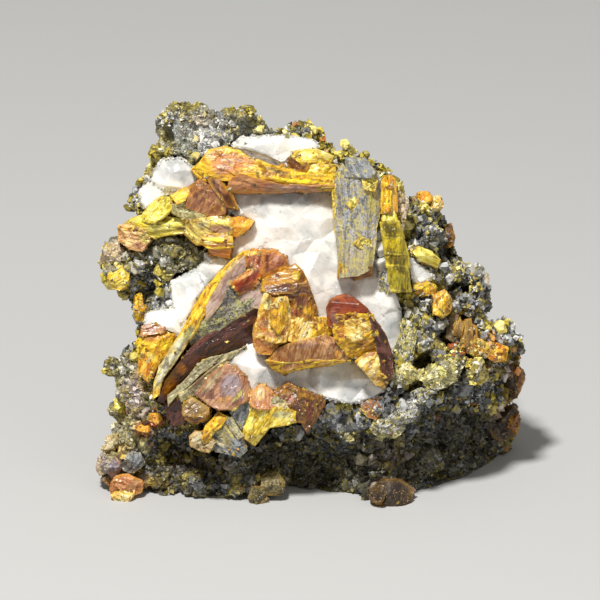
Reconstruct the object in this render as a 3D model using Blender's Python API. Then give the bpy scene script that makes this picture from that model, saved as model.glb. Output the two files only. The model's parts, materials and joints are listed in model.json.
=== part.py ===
"""Orpiment specimen: a broken block of grey ore rock that stands on its flat underside. Its front is filled
with white calcite, and blades of amber and gold orpiment grow out of the calcite and the rock.

Everything on the front is laid out on the display face, a plane that leans back from the vertical.
Points there are (across, up, out) in millimetres: across is +X, up runs up the leaning face, and out
stands straight out of it. The origin is on the flat underside, under the middle of the block.
"""

import math

import bmesh
import bpy
import numpy as np
from mathutils import Matrix, Vector
from mathutils.geometry import delaunay_2d_cdt

MM = 0.001
FACE_LEAN = math.radians(20)  # the display face leans back this far
FACE_FOOT = -18.0  # where the display face meets the floor, along Y
GAP = 0.3  # left between pieces that touch

ROCK_VOXEL = 0.6
ROCK_KEEP = 0.042  # the share of the rock's remeshed faces that is kept
SHEET_GRID = 1.8  # spacing of the points that carry the rock's front relief
CALCITE_GRID = 2.0
CALCITE_FLOOR = -6.0  # how deep the calcite fills the rock
SOCKET_REACH = 30.0  # how far a socket's cutter stands out of the face


def leaned(across, up, out):
    """A direction given on the display face, in metres."""
    lean_sin, lean_cos = math.sin(FACE_LEAN), math.cos(FACE_LEAN)
    return MM * Vector((across, up * lean_sin - out * lean_cos, up * lean_cos + out * lean_sin))


def face(across, up, out):
    """A point given on the display face, in metres."""
    return leaned(across, up, out) + MM * Vector((0, FACE_FOOT, 0))


def material(name, colour, roughness, metallic=0.0):
    made = bpy.data.materials.new(name)
    made.use_nodes = True
    shader = made.node_tree.nodes["Principled BSDF"]
    shader.inputs["Base Color"].default_value = (*colour, 1.0)
    shader.inputs["Roughness"].default_value = roughness
    shader.inputs["Metallic"].default_value = metallic
    return made


def add_object(name, bm, finish):
    """A named object from a bmesh whose points are already in place, in metres."""
    bmesh.ops.recalc_face_normals(bm, faces=bm.faces[:])
    mesh = bpy.data.meshes.new(name)
    bm.to_mesh(mesh)
    bm.free()
    made = bpy.data.objects.new(name, mesh)
    bpy.context.scene.collection.objects.link(made)
    if finish is not None:
        mesh.materials.append(finish)
    return made


def hide_cutter(cutter):
    cutter.hide_render = True
    cutter.display_type = "WIRE"
    return cutter


def cut(piece, cutters):
    """Takes the shapes of all the cutters out of the piece in one go."""
    group = bpy.data.collections.new("cutters_of_" + piece.name)
    for cutter in cutters:
        group.objects.link(cutter)
    boolean = piece.modifiers.new("sockets", "BOOLEAN")
    boolean.operation = "DIFFERENCE"
    boolean.solver = "EXACT"
    boolean.operand_type = "COLLECTION"
    boolean.collection = group


def grown(outline, gap):
    """The flat outline moved outwards by gap, with each corner mitred."""
    points = [Vector(point[:2]) for point in outline]
    area = sum(p.cross(points[i - 1]) for i, p in enumerate(points))
    side = 1.0 if area < 0 else -1.0
    moved = []
    for i, point in enumerate(points):
        before = (point - points[i - 1]).normalized()
        after = (points[(i + 1) % len(points)] - point).normalized()
        normals = [Vector((edge.y, -edge.x)) * side for edge in (before, after)]
        middle = (normals[0] + normals[1]).normalized()
        reach = gap / max(0.5, middle.dot(normals[0]))
        moved.append(point + middle * reach)
    return moved


def socket(name, outline, floor):
    """A straight cutter with the grown outline, from floor out past the face."""
    bm = bmesh.new()
    edge = grown(outline, GAP)
    bottom = [bm.verts.new(face(p.x, p.y, floor - GAP)) for p in edge]
    base = bm.faces.new(bottom)
    walls = bmesh.ops.extrude_face_region(bm, geom=[base])
    lift = leaned(0, 0, SOCKET_REACH - floor + GAP)
    raised = [item for item in walls["geom"] if isinstance(item, bmesh.types.BMVert)]
    bmesh.ops.translate(bm, verts=raised, vec=lift)
    return hide_cutter(add_object(name + "_socket", bm, None))


def sheet(bm, outline, inner):
    """Triangles inside the outline, through its points and the inner points."""
    points = [Vector(p[:2]) for p in outline] + [Vector(p[:2]) for p in inner]
    rim = list(range(len(outline)))
    flat, _, faces, first, _, _ = delaunay_2d_cdt(points, [], [rim], 1, 1e-5)
    given = [*outline, *inner]
    verts = []
    for place, source in zip(flat, first):
        out = given[source[0]][2] if source else 0.0
        verts.append(bm.verts.new(face(place.x, place.y, out)))
    for corners in faces:
        bm.faces.new([verts[i] for i in corners])


# ---- The rock ------------------------------------------------------------------------------------------

# How far the front of the block stands out, read at the points that its relief turns on.
TOP_RELIEF = [
    (-23, 62, -7), (-19, 63, -7), (-20, 57, -1), (-13, 60, -3), (-5, 59, -5), (-2, 59.5, -3),
    (5, 57, -5), (8, 54, -1), (12, 53, -2), (15, 51, -6), (19, 48.5, -5), (22, 45, -12),
]
LEFT_RELIEF = [
    (-26, 56, -5), (-26, 51, -5), (-28.5, 48, -5), (-24, 49, 0), (-29, 44, 0), (-33, 39, -3),
    (-31, 36, 1), (-24, 39, 3), (-20, 40, 3), (-25, 35, 1), (-27, 32, -4), (-28.5, 28, -6),
    (-26, 25, 0), (-30, 22, -4), (-27, 18, 2), (-31, 14, -6), (-26, 13, 3), (-32, 9, -5), (-34, 5, -6),
    (-29, 8, -1), (-30, 3, -2), (-30, 0, 0),
]
MIDDLE_RELIEF = [
    (-12, 54, 1), (-5, 45, 1), (0, 50, 1), (0, 38, 2), (-10, 30, 3), (-18, 25, 3), (5, 45, 1),
    (12, 48, 2), (12, 36, 3), (5, 30, 3), (-5, 22, 4), (5, 20, 5), (-13, 18, 5), (-20, 16, 4),
]
RIGHT_RELIEF = [
    (17, 47, -4), (20, 43, -3), (17, 41, 1), (23, 41, -10), (20, 36, 0), (24, 38, -6), (28, 36, -7),
    (16, 30, 4), (21, 31, 2), (24, 28, -3), (28, 31, -7), (31, 27, -6), (27, 25, 0), (33, 23, -8),
    (18, 25, 5), (14, 22, 7), (22, 22, 6), (28, 21, 0), (15, 15, 6), (13, 11.5, 6),
]
LEDGE_FOOT_RELIEF = [
    (-23, 11, -2), (-20, 6, -3), (-24, 1.5, -2), (-18, 0, 0), (-14, 5, -1), (-8, 7, 0), (-7, 0, 2),
    (-2, 3, -6), (0, 9, -1), (4, 1, -3), (6, 6, -3), (13, 6, 0), (13.5, -1, 3.5), (18, 2, -4),
    (20, 12, -4), (24, 15, -5), (27, 4.5, -11), (28, 12, -10), (32, 16, -14), (31, 8, -18), (34, 11, -22),
    (34, 19, -16),
]

# The block's outline on the display face, clockwise from the upper left corner.
ROCK_OUTLINE = [
    (-25.1, 60.2), (-24.3, 63), (-22.3, 64.3), (-19, 64.5), (-16.5, 64), (-14.6, 62.9), (-12.7, 63.2),
    (-9.8, 62.5), (-8, 61.4), (-7.2, 60.1), (-5.3, 59.4), (-3.6, 59.8), (-2.6, 60.7), (-1, 60.7),
    (0.1, 60), (2.5, 59.1), (5, 58.1), (8, 56.4), (11.2, 55.5), (13.6, 53.6), (16, 50.8), (18.5, 50),
    (20.6, 49.1), (21.6, 47.2), (23, 43.8), (23.4, 41), (26, 38), (28.7, 36.8), (29, 34.5), (28.6, 32.2),
    (29.2, 29.2), (30.4, 28.6), (32, 28.6), (33.2, 27), (33.7, 24.5), (33.4, 22.4), (34.9, 21),
    (34.2, 18.8), (32.3, 16), (33.8, 13.6), (34.3, 11.2), (33.4, 8.8), (31, 6.6), (28, 4.7), (24, 2.8),
    (20.4, 1.7), (17.2, 1.4), (16.3, -0.9), (13.5, -1.5), (10.6, -0.9), (9.6, 0.8), (5.5, 1.2),
    (3.2, 0.6), (0, 1.6), (-2.6, 2.6), (-5, 1.4), (-7.8, -0.8), (-10.4, 0.9), (-14.2, 0.2), (-18.3, -0.1),
    (-21, 1.3), (-24, 0.3), (-26.4, 2), (-28.6, 1.8), (-29.3, -0.1), (-31.7, 0.1), (-33, 1.9),
    (-34.6, 3.6), (-35.1, 5.6), (-33.9, 8.2), (-32.8, 10.4), (-31.1, 12.7), (-31.9, 15.2), (-31.2, 18.2),
    (-32.1, 20.2), (-32.1, 22.6), (-29.8, 25.4), (-28.2, 25.2), (-28.1, 28.6), (-30, 31.8),
    (-30.8, 33.3), (-33.3, 34.3), (-34.2, 38), (-33.2, 41.6), (-31, 42.3), (-30.4, 44.6), (-29, 46.5),
    (-29.5, 48.1), (-28.4, 50.3), (-26.2, 52.4), (-26.8, 55), (-26.2, 57.6), (-24.9, 58.6),
]

# Angular lumps standing on the block: centre on the face, half sizes, and a turn in degrees.
FRONT_LUMPS = [
    ((-21, 60, -5), (4.2, 4.0, 4.5), 10), ((-13, 61, -5), (4.5, 2.6, 4.0), -8), ((-1.5, 59, -4), (2.2, 1.8, 3.5), 0),
    ((-24.5, 56, -4), (2.6, 3.4, 4.0), 20), ((6.5, 56, -4), (3.8, 2.0, 3.0), -25), ((19.5, 46.5, -5), (2.6, 3.6, 4.5), 30),
    ((19.5, 43, -2), (3.0, 2.6, 3.0), 0), ((26.5, 35.5, -6), (3.0, 2.0, 3.5), -20), ((26, 31.5, -5), (2.8, 2.8, 4.0), 15),
    ((31.5, 26, -7), (2.4, 2.8, 4.0), 0), ((27.5, 24, -1), (4.4, 1.7, 3.2), 8), ((26.8, 21, 1.2), (2.3, 2.2, 3.0), 0),
    ((20.4, 21.2, 5), (3.3, 2.7, 3.4), 25), ((14.6, 21, 5.5), (2.2, 4.2, 3.4), -8), ((15, 15.2, 4.5), (4.0, 2.0, 3.6), 28),
    ((13.2, 12, 4), (3.2, 1.9, 3.4), 12), ((17, 28, 3), (3.0, 2.6, 2.6), 0), ((21.5, 30.5, 1), (2.2, 3.2, 2.8), -15),
    ((-30.5, 36.5, -1), (3.4, 2.6, 4.0), -15), ((-22, 39.5, 1), (4.6, 2.6, 3.4), 5), ((-30, 21.5, -5), (2.4, 3.0, 4.5), 0),
    ((-27, 13.5, 0), (3.0, 3.4, 4.0), 35), ((-31.5, 5.5, -4.5), (3.4, 3.6, 5.0), 20), ((-30.5, 2, -2.5), (2.2, 2.0, 3.5), 0),
    ((-8, 3, -1), (3.4, 2.8, 3.6), 15), ((-18, 2.6, -3), (3.0, 2.6, 3.4), 0), ((13.5, 1, 0.5), (3.6, 2.4, 3.8), -5),
    ((4, 2.6, -5), (2.8, 2.0, 3.2), 0), ((32.5, 12.5, -20), (2.6, 3.4, 5.0), 0), ((33, 20, -15), (2.0, 2.4, 4.0), 0),
    ((24, 6, -10), (4.0, 3.0, 4.5), 30),
]
class Relief:
    """Depth through a few known points, cone shaped around each, so that edges between them stay crisp."""

    def __init__(self, known):
        self.places = np.array([point[:2] for point in known], float)
        depths = np.array([point[2] for point in known], float)
        spread = np.linalg.norm(self.places[:, None] - self.places[None], axis=2)
        self.weights = np.linalg.solve(spread, depths)

    def at(self, across, up):
        reach = np.hypot(self.places[:, 0] - across, self.places[:, 1] - up)
        return float(reach @ self.weights)


class Blocks:
    """Random tilted steps: each cell of the face is one broken plane."""

    def __init__(self, seed, size, step, tilt, reach=40.0):
        dice = np.random.default_rng(seed)
        count = int((2 * reach / size) ** 2)
        self.centres = dice.uniform(-reach, reach, (count, 2)) + np.array([0.0, 32.0])
        self.steps = dice.uniform(-step, step, count)
        self.tilts = dice.uniform(-tilt, tilt, (count, 2))

    def at(self, across, up):
        offset = np.array([across, up]) - self.centres
        nearest = int(np.argmin((offset**2).sum(axis=1)))
        return float(self.steps[nearest] + self.tilts[nearest] @ offset[nearest])


def inside(across, up, outline):
    """Whether a point lies within the outline, by counting crossings."""
    odd = False
    for i, (x1, y1) in enumerate(point[:2] for point in outline):
        x0, y0 = outline[i - 1][:2]
        if (y0 > up) != (y1 > up) and across < x0 + (up - y0) * (x1 - x0) / (y1 - y0):
            odd = not odd
    return odd


def clear_of(across, up, outline, margin):
    """Whether a point lies within the outline and at least margin from its corners and edge middles."""
    if not inside(across, up, outline):
        return False
    for i, (x1, y1) in enumerate(point[:2] for point in outline):
        x0, y0 = outline[i - 1][:2]
        for share in (0.0, 0.5):
            if math.hypot(across - x1 + share * (x1 - x0), up - y1 + share * (y1 - y0)) < margin:
                return False
    return True


def scattered(outline, spacing, seed):
    """Points in a loose grid inside the outline."""
    dice = np.random.default_rng(seed)
    low = np.min([p[:2] for p in outline], axis=0)
    high = np.max([p[:2] for p in outline], axis=0)
    found = []
    for row, up in enumerate(np.arange(low[1], high[1], spacing)):
        for across in np.arange(low[0] + (row % 2) * spacing / 2, high[0], spacing):
            x, y = across + dice.uniform(-0.3, 0.3) * spacing, up + dice.uniform(-0.3, 0.3) * spacing
            if clear_of(x, y, outline, 0.6 * spacing):
                found.append((x, y))
    return found


def add_lump(bm, centre, half_sizes, turn, seed):
    """An angular lump: the hull of a few points scattered on an ellipsoid."""
    dice = np.random.default_rng(seed)
    points = dice.normal(size=(18, 3))
    points /= np.linalg.norm(points, axis=1)[:, None]
    turned = Matrix.Rotation(math.radians(turn), 3, "Z")
    verts = []
    for point in points * dice.uniform(0.9, 1.08, (18, 1)) * np.array(half_sizes):
        place = turned @ Vector(point) + Vector(centre)
        verts.append(bm.verts.new(face(*place)))
    hull = bmesh.ops.convex_hull(bm, input=verts)
    loose = [item for item in hull["geom_interior"] if isinstance(item, bmesh.types.BMVert)]
    bmesh.ops.delete(bm, geom=loose, context="VERTS")


# The back, read up the middle of the block: how far up, and how far out (behind the face, so less than 0).
BACK_PROFILE_UP = (0, 14, 27, 41, 51, 59, 64)
BACK_PROFILE_OUT = (-33, -32, -30, -25, -19, -12, -7)
BACK_SHOULDER = 13.0  # how far in from the rim the back reaches its full depth


def rim_distance(across, up, outline):
    """How far a point is from the nearest edge of the outline."""
    here = Vector((across, up))
    nearest = math.inf
    for i, point in enumerate(outline):
        start, end = Vector(outline[i - 1][:2]), Vector(point[:2])
        along = max(0.0, min(1.0, (here - start).dot(end - start) / (end - start).length_squared))
        nearest = min(nearest, (here - start.lerp(end, along)).length)
    return nearest


def back_out(across, up, outline, rim_relief):
    """The back's depth: it falls away from the rim in a round shoulder."""
    full = float(np.interp(up, BACK_PROFILE_UP, BACK_PROFILE_OUT))
    start = rim_relief.at(across, up)
    inward = min(1.0, rim_distance(across, up, outline) / BACK_SHOULDER)
    return start + (full - start) * math.sqrt(1.0 - (1.0 - inward) ** 2)


def rock_block():
    """The block before its sockets: a front sheet and a back sheet that share the rim, and lumps."""
    relief = Relief(TOP_RELIEF + LEFT_RELIEF + MIDDLE_RELIEF + RIGHT_RELIEF + LEDGE_FOOT_RELIEF)
    outline = [(x, y, relief.at(x, y)) for x, y in ROCK_OUTLINE]
    steps = Blocks(seed=11, size=4.2, step=0.9, tilt=0.3)
    front = [
        (x, y, relief.at(x, y) + steps.at(x, y))
        for x, y in scattered(ROCK_OUTLINE, SHEET_GRID, seed=3)
    ]
    rim_relief = Relief(outline[::4])
    slabs = Blocks(seed=5, size=9.0, step=2.2, tilt=0.4)
    chips = Blocks(seed=6, size=4.0, step=0.8, tilt=0.3)
    back = [
        (x, y, back_out(x, y, outline, rim_relief) + slabs.at(x, y) + chips.at(x, y))
        for x, y in scattered(ROCK_OUTLINE, SHEET_GRID, seed=4)
    ]
    bm = bmesh.new()
    sheet(bm, outline, front)
    sheet(bm, outline, back)
    bmesh.ops.remove_doubles(bm, verts=bm.verts[:], dist=1e-6)
    for number, (centre, half_sizes, turn) in enumerate(FRONT_LUMPS):
        add_lump(bm, centre, half_sizes, turn, seed=100 + number)
    return bm


def build_rock():
    finish = material("ore_rock", (0.24, 0.23, 0.15), 0.7, 0.1)
    rock = add_object("rock_matrix", rock_block(), finish)
    remesh = rock.modifiers.new("fuse", "REMESH")
    remesh.mode = "VOXEL"
    remesh.voxel_size = ROCK_VOXEL * MM
    decimate = rock.modifiers.new("facets", "DECIMATE")
    decimate.ratio = ROCK_KEEP
    decimate.use_collapse_triangulate = True
    return rock


def floor_cutter():
    """Cuts the underside flat at the height that the block stands on."""
    bm = bmesh.new()
    bmesh.ops.create_cube(bm, size=1.0, matrix=Matrix.Diagonal((0.2, 0.2, 0.04, 1.0)))
    bmesh.ops.translate(bm, verts=bm.verts[:], vec=(0, 0, -0.02))
    return hide_cutter(add_object("floor_cutter", bm, None))


# ---- Calcite -------------------------------------------------------------------------------------------

CALCITE_VEIN = [
    (-12.3, 49.9), (0, 50.3), (4.2, 50.2), (11.4, 47), (11.8, 41), (13.2, 35), (14.6, 30.8), (15, 28),
    (14.6, 26.4), (13.2, 22.5), (12.6, 18.2), (9.6, 16.6), (6.5, 15.8), (1.5, 17), (-1, 18.2),
    (-3.5, 18.9), (-5.5, 18), (-8, 18.8), (-9.2, 17.2), (-10.4, 20), (-13.4, 21.9), (-17, 21), (-19.5, 24),
    (-20.8, 26.6), (-26.7, 27.2), (-26.3, 30.2), (-22, 31), (-22.3, 35.3), (-18.3, 37.3), (-16.2, 39.6),
    (-13, 39.4), (-12.6, 42.5), (-10.5, 44.5), (-12, 46.5),
]
CALCITE_TOP = [
    (-12.6, 57.3), (-11, 58.6), (-4, 58.8), (0.5, 58.1), (1.2, 56.9), (-3, 56.3), (-3.4, 53.6),
    (-6, 54.3), (-10, 55.6),
]
CALCITE_UPPER_LEFT = [
    (-27.6, 50), (-26, 51.9), (-24, 55), (-21, 55.2), (-18.7, 53.4), (-17.6, 51.9), (-20, 50.4),
    (-23.5, 49.4), (-24.8, 48.7), (-26.6, 47.3), (-27.4, 48.4),
]
CALCITE_RIGHT = [(16, 39.3), (17.6, 38), (19.8, 36.2), (18.2, 34.9), (16.7, 35.2), (16.2, 37)]

CALCITE_RELIEF = [
    (-12, 48, 4.2), (-5, 48, 4.6), (2, 48, 4.4), (8, 45, 4), (-12, 41, 5), (-5, 42, 5.2), (2, 42, 5),
    (0, 36, 5.4), (8, 34, 5.5), (13, 31, 5), (14, 28, 3.6), (-17, 38, 4.6), (-21, 34, 4.2), (-24, 29, 4),
    (-20, 30, 5), (-10, 30, 4.5), (0, 28, 5), (10, 24, 5), (-12, 22, 6.5), (-9, 22, 7), (-3, 19.6, 6.6),
    (3, 19, 6.4), (8, 18, 6.6), (12, 19, 6),
    (-12, 57.5, 1.5), (-7, 57, 3), (0, 57.5, 1.5), (-22, 53, 1.5), (-26, 50, 0.5), (-19, 52, 3),
    (17, 37, 3.4), (19, 36, 2.4),
]


def build_calcite(name, outline, finish, seed):
    """A mass of calcite: cleavage steps in front, straight sides down to its floor in the rock."""
    relief = Relief(CALCITE_RELIEF)
    steps = Blocks(seed=seed, size=3.2, step=0.45, tilt=0.28)
    rim = grown(outline, -GAP / 2)
    edge = [(p.x, p.y, relief.at(p.x, p.y) - 0.4) for p in rim]
    inner = [
        (x, y, relief.at(x, y) + steps.at(x, y))
        for x, y in scattered(outline, CALCITE_GRID, seed)
    ]
    bm = bmesh.new()
    sheet(bm, edge, inner)
    top = [bm.verts.new(face(*point)) for point in edge]
    floor = [bm.verts.new(face(x, y, CALCITE_FLOOR)) for x, y, _ in edge]
    for i in range(len(edge)):
        bm.faces.new((top[i - 1], top[i], floor[i], floor[i - 1]))
    bm.faces.new(floor)
    bmesh.ops.remove_doubles(bm, verts=bm.verts[:], dist=1e-6)
    return add_object(name, bm, finish)


# ---- Orpiment ------------------------------------------------------------------------------------------

# Each crystal is a straight-sided column with this outline, standing on its floor, whose front end is cut by
# flat facets. A facet is (across, up, out, slope across, slope up): it goes through that point, and its out
# grows by the slopes. Earlier crystals stand in front, and later ones are cut to make room for them.
CRYSTALS = {
    "orange_red_crystal": dict(
        colour="red",
        outline=[(-8.9, 39.4), (-7.6, 40.6), (-6, 40.5), (-4.5, 39.3), (-4.1, 38.2), (-5, 36.9), (-7.5, 36.1)],
        floor=1,
        facets=[(-7, 38.5, 10.4, 0.25, -0.35), (-5.5, 38.5, 9.8, -0.9, 0.1), (-7, 37, 9.8, 0.1, 0.9)],
    ),
    "small_red_crystal": dict(
        colour="red",
        outline=[(-13, 35), (-11.2, 36.5), (-9.2, 36.7), (-8.3, 35.2), (-9.4, 34), (-11.3, 33.6)],
        floor=3,
        facets=[(-11, 35.5, 10.6, 0.1, -0.3), (-10, 34.6, 10.2, -0.3, 0.8)],
    ),
    "red_capped_crystal": dict(
        colour="amber",
        outline=[
            (3, 31.2), (3.3, 32.3), (4.3, 32.9), (5.5, 33), (7, 32.4), (9, 30.9), (10.8, 28.5),
            (11.8, 26.5), (12.5, 24.5), (13, 22.5), (12.5, 18.5), (10.5, 19), (8.2, 21.7), (6.2, 23.3),
            (5, 25), (3.3, 27), (3, 29.3),
        ],
        floor=-2,
        facets=[
            (5.5, 31, 12.2, 0.1, -0.55), (6, 28.5, 12.6, 0.12, 0.18), (10.5, 27, 11.4, -0.9, -0.1),
            (4, 28, 11.8, 0.9, 0.1), (9.5, 22, 10.4, 0.0, 0.45),
        ],
    ),
    "centre_cluster": dict(
        colour="amber",
        outline=[
            (-8.8, 25), (-8.8, 27.8), (-8, 29.5), (-8.1, 30.5), (-7.4, 32), (-7.5, 35.5), (-5, 36.7),
            (-2.5, 37.8), (-1.5, 37), (-0.8, 35.8), (0.3, 32.5), (0.9, 30.5), (0.2, 29.5), (-1, 29.3),
            (-3.1, 30), (-3.6, 26.5), (-5, 25.5), (-6.5, 23.7), (-8, 24),
        ],
        floor=-2,
        facets=[
            (-4, 34, 11, 0.1, -0.35), (-5, 30, 11.2, -0.35, 0.12), (-7.5, 28, 9.8, 0.8, 0.1),
            (0, 32.5, 9.6, -0.9, 0.0),
        ],
    ),
    "lower_striated_crystal": dict(
        colour="salmon",
        outline=[
            (-6.8, 22.7), (-6.3, 21.6), (-4.2, 20.6), (-1, 21.6), (3, 22.2), (6.1, 22.9), (5, 24.9),
            (3.2, 26.8), (2.8, 29.2), (0.8, 29.3), (-3, 29.6), (-3.3, 26.4), (-5, 25.2), (-6.2, 24),
        ],
        floor=-2,
        facets=[(0, 25, 10.4, 0.02, 0.2), (0, 26.5, 10.8, 0.0, -0.5), (-4, 22.8, 9.4, 0.3, 0.35)],
    ),
    "long_top_blade": dict(
        colour="amber",
        outline=[
            (-18.7, 53.2), (-17.8, 52.3), (-16.5, 51.6), (-13.5, 50.4), (-12.5, 50.1), (0, 50.3),
            (3.8, 50.3), (4, 52.6), (0, 52.6), (-3, 53.3), (-6.5, 54.1), (-10, 55.4), (-11, 56.2),
            (-13.8, 56.8), (-16, 56.5), (-18, 54.4),
        ],
        floor=-2,
        facets=[(-8, 51.8, 8.6, 0.05, -0.5), (-8, 51.4, 8.4, 0.02, 1.1), (-16, 54, 7.2, 0.5, -0.1)],
    ),
    "brown_wedge": dict(
        colour="brown",
        outline=[
            (-22, 49.3), (-20, 50.3), (-18, 51.7), (-16, 52), (-15, 51.5), (-13.9, 50.2), (-12.7, 49.8),
            (-11.8, 47.4), (-13.3, 47.1), (-14.1, 46.3), (-16.5, 46.2), (-19.5, 47.3), (-21, 48.1),
        ],
        floor=-1,
        facets=[(-17.5, 49, 7.8, 0.2, 0.35), (-15.5, 50, 8, -0.2, -0.8), (-20.5, 49, 6.6, 0.6, 0)],
    ),
    "grey_prism": dict(
        colour="grey",
        outline=[
            (4.1, 50.2), (4.2, 52.7), (6, 55.1), (8.5, 54.8), (10.5, 52), (11.1, 47.5), (10.2, 43),
            (10, 38.5), (9.6, 37.3), (7.5, 36.2), (4.8, 36), (4.8, 39), (4.2, 43), (3.9, 47),
        ],
        floor=-2,
        facets=[
            (7, 46, 8.8, -0.18, 0.02), (8.8, 45, 8.7, -1.1, 0.0), (7, 52.8, 7.9, 0, -0.8),
            (7.5, 37.6, 8.2, 0, 1.2),
        ],
    ),
    "yellow_rod": dict(
        colour="yellow",
        outline=[(11.7, 46.6), (11.6, 51.6), (12.3, 52.4), (13.5, 52.1), (13.8, 46.8)],
        floor=-2,
        facets=[(12.7, 50, 7.2, 0.35, 0), (12.9, 50, 7.2, -0.9, 0), (12.7, 51.4, 7, 0, -1.0)],
    ),
    "green_gold_prism": dict(
        colour="yellow",
        outline=[
            (11.4, 45), (13.8, 44.9), (14.7, 43.5), (15.1, 41.5), (15.8, 37), (16.1, 34.4), (15.5, 33.8),
            (13.8, 33.8), (12.8, 35.5), (12, 40), (11.8, 43),
        ],
        floor=-1,
        facets=[
            (13.6, 40, 8, 0.3, 0.03), (14.3, 40, 8, -0.9, 0.03), (13, 43.6, 7.6, 0, -0.9),
            (14.5, 35, 7.4, 0, 0.9),
        ],
    ),
    "left_banded_crystal": dict(
        colour="yellow",
        outline=[
            (-19.5, 45.5), (-15.5, 46), (-13, 45.4), (-12, 45.5), (-10.5, 45.8), (-9.2, 45.1), (-9.9, 44.3),
            (-11, 43.2), (-12.4, 42.4), (-12.8, 39.4), (-15.8, 39.8), (-16.4, 40.1), (-18, 41.5),
            (-20, 43),
        ],
        floor=-1,
        facets=[
            (-16, 43, 7.4, 0.1, 0.12), (-16, 44.4, 7.5, 0, -0.5), (-15, 41, 7, 0, 0.6),
            (-18.8, 44, 6.6, 0.9, 0), (-11, 44.5, 6.8, -0.5, 0),
        ],
    ),
    "left_gold_fan": dict(
        colour="yellow",
        outline=[
            (-30.7, 44.1), (-29.5, 45.5), (-26, 47), (-24.4, 48.6), (-22.4, 49.1), (-20.2, 48), (-17.5, 46.3),
            (-19.5, 45.4), (-20, 43.1), (-26, 43.5), (-27, 42.3), (-27.6, 40.6), (-29.5, 41), (-30.8, 42.2),
        ],
        floor=-8,
        facets=[(-24, 46, 4.6, 0.3, 0.3), (-24, 46.5, 4.9, 0.4, -0.5), (-29, 43, 2.3, 0.7, 0)],
    ),
    "diagonal_blade": dict(
        colour="brown",
        outline=[
            (-25, 17), (-24.3, 20), (-23, 23), (-21, 26.5), (-19.8, 29.5), (-18.3, 32.3), (-16.2, 35.2),
            (-14.5, 37), (-12.5, 38.7), (-10.5, 40), (-8.7, 40.4), (-7.8, 36), (-7.6, 31.8), (-8.3, 30),
            (-9.1, 27.8), (-9, 25.6), (-10.6, 24.8), (-13.5, 22.3), (-16, 20.2), (-18.3, 17.4),
            (-20.6, 16.4), (-23, 15.6),
        ],
        floor=-2,
        facets=[
            (-16, 31, 9.6, 0.06, -0.04), (-20.5, 27, 8.8, 0.55, -0.3), (-14, 28.5, 9.4, -0.28, 0.75),
            (-23, 18, 7.6, 0.1, 0.35),
        ],
    ),
    "left_gold_crystal": dict(
        colour="yellow",
        outline=[
            (-27, 28.2), (-25, 28.4), (-22.2, 27.2), (-22.3, 25), (-24.2, 21), (-25.5, 19.5), (-27.3, 21),
            (-27.5, 24),
        ],
        floor=-4,
        facets=[(-25, 24.5, 4.6, 0.3, 0.15), (-24.8, 26.5, 4.8, 0.2, -0.6)],
    ),
    "mauve_crystal": dict(
        colour="mauve",
        outline=[
            (-18.1, 17.2), (-16.2, 19.9), (-13.4, 22), (-11.8, 21.4), (-10.5, 20), (-9.8, 18), (-9.6, 16.3),
            (-11, 11.8), (-12.4, 13.9), (-14, 15.3), (-16, 15.6),
        ],
        floor=-3,
        facets=[(-13, 18, 9.2, 0.25, -0.15), (-11, 18, 9.3, -0.8, 0.1), (-13, 16, 9, 0.1, 0.6)],
    ),
    "small_brown_block": dict(
        colour="brown",
        outline=[(-20.5, 16.1), (-18.5, 16.8), (-16.3, 15.2), (-16.5, 13.8), (-19, 12.5), (-20.2, 14)],
        floor=-3,
        facets=[(-18.5, 15, 7.4, 0.1, -0.3), (-18, 14, 7, 0.2, 0.6)],
    ),
    "boot_crystal": dict(
        colour="yellow",
        outline=[
            (-10.7, 11.2), (-9.4, 15), (-8.9, 17.2), (-7.9, 18.6), (-5.6, 17.6), (-4, 16), (-2.6, 14.5),
            (-2.4, 13), (-6.5, 12.1), (-7.7, 10.3), (-9.2, 9.3), (-10.3, 9.9),
        ],
        floor=-3,
        facets=[(-7, 15, 9, -0.1, -0.35), (-7, 13.5, 8.8, 0.05, 0.5), (-9.6, 12, 8, 0.7, 0.2)],
    ),
    "lower_brown_crystal": dict(
        colour="brown",
        outline=[
            (-5.5, 17.8), (-3.5, 18.8), (1.8, 16.8), (2.3, 15.8), (1, 13.5), (-0.5, 11.4), (-2.3, 13),
            (-2.5, 14.6), (-4, 16.1),
        ],
        floor=-3,
        facets=[(-1, 15.5, 8.8, -0.1, -0.2), (-0.5, 14, 8.6, -0.1, 0.7)],
    ),
    "gold_hook_crystal": dict(
        colour="yellow",
        outline=[
            (-19.4, 9.2), (-19.1, 11.2), (-17.8, 11), (-15.7, 13.1), (-14.9, 14), (-13.7, 13.8),
            (-12.3, 12.6), (-11, 10.6), (-10.6, 8.6), (-12, 7.6), (-16, 7.4), (-17.5, 8.4),
        ],
        floor=-4,
        facets=[(-14.5, 10.5, 6.8, 0.1, 0.25), (-15, 12, 6.9, 0.1, -0.5), (-18, 10, 5.6, 0.5, 0)],
    ),
    "top_yellow_cluster": dict(
        colour="yellow",
        outline=[(-3.2, 53.6), (-3, 55.2), (-1.8, 56.2), (1, 56.7), (3, 55.6), (3.9, 52.8), (0, 52.7)],
        floor=-4,
        facets=[(0, 54.5, 5.6, 0.1, -0.4), (0, 53.4, 5.4, 0.1, 0.6)],
    ),
    "right_pale_blade": dict(
        colour="yellow",
        outline=[(16.6, 40.1), (17.3, 41), (20.9, 39.1), (20.6, 38), (17.5, 39.1)],
        floor=-5,
        facets=[(18.5, 39.6, 3.6, -0.2, -0.5), (18.5, 39.4, 3.5, -0.2, 0.9)],
    ),
    "right_yellow_crystal": dict(
        colour="yellow",
        outline=[(20.2, 30.2), (20, 33), (21.6, 33.9), (22.8, 32.5), (22.6, 30.2), (21.4, 29.7)],
        floor=-5,
        facets=[(21.2, 32, 3.6, 0.1, -0.3), (21.8, 31, 3.4, -0.7, 0.2)],
    ),
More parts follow.
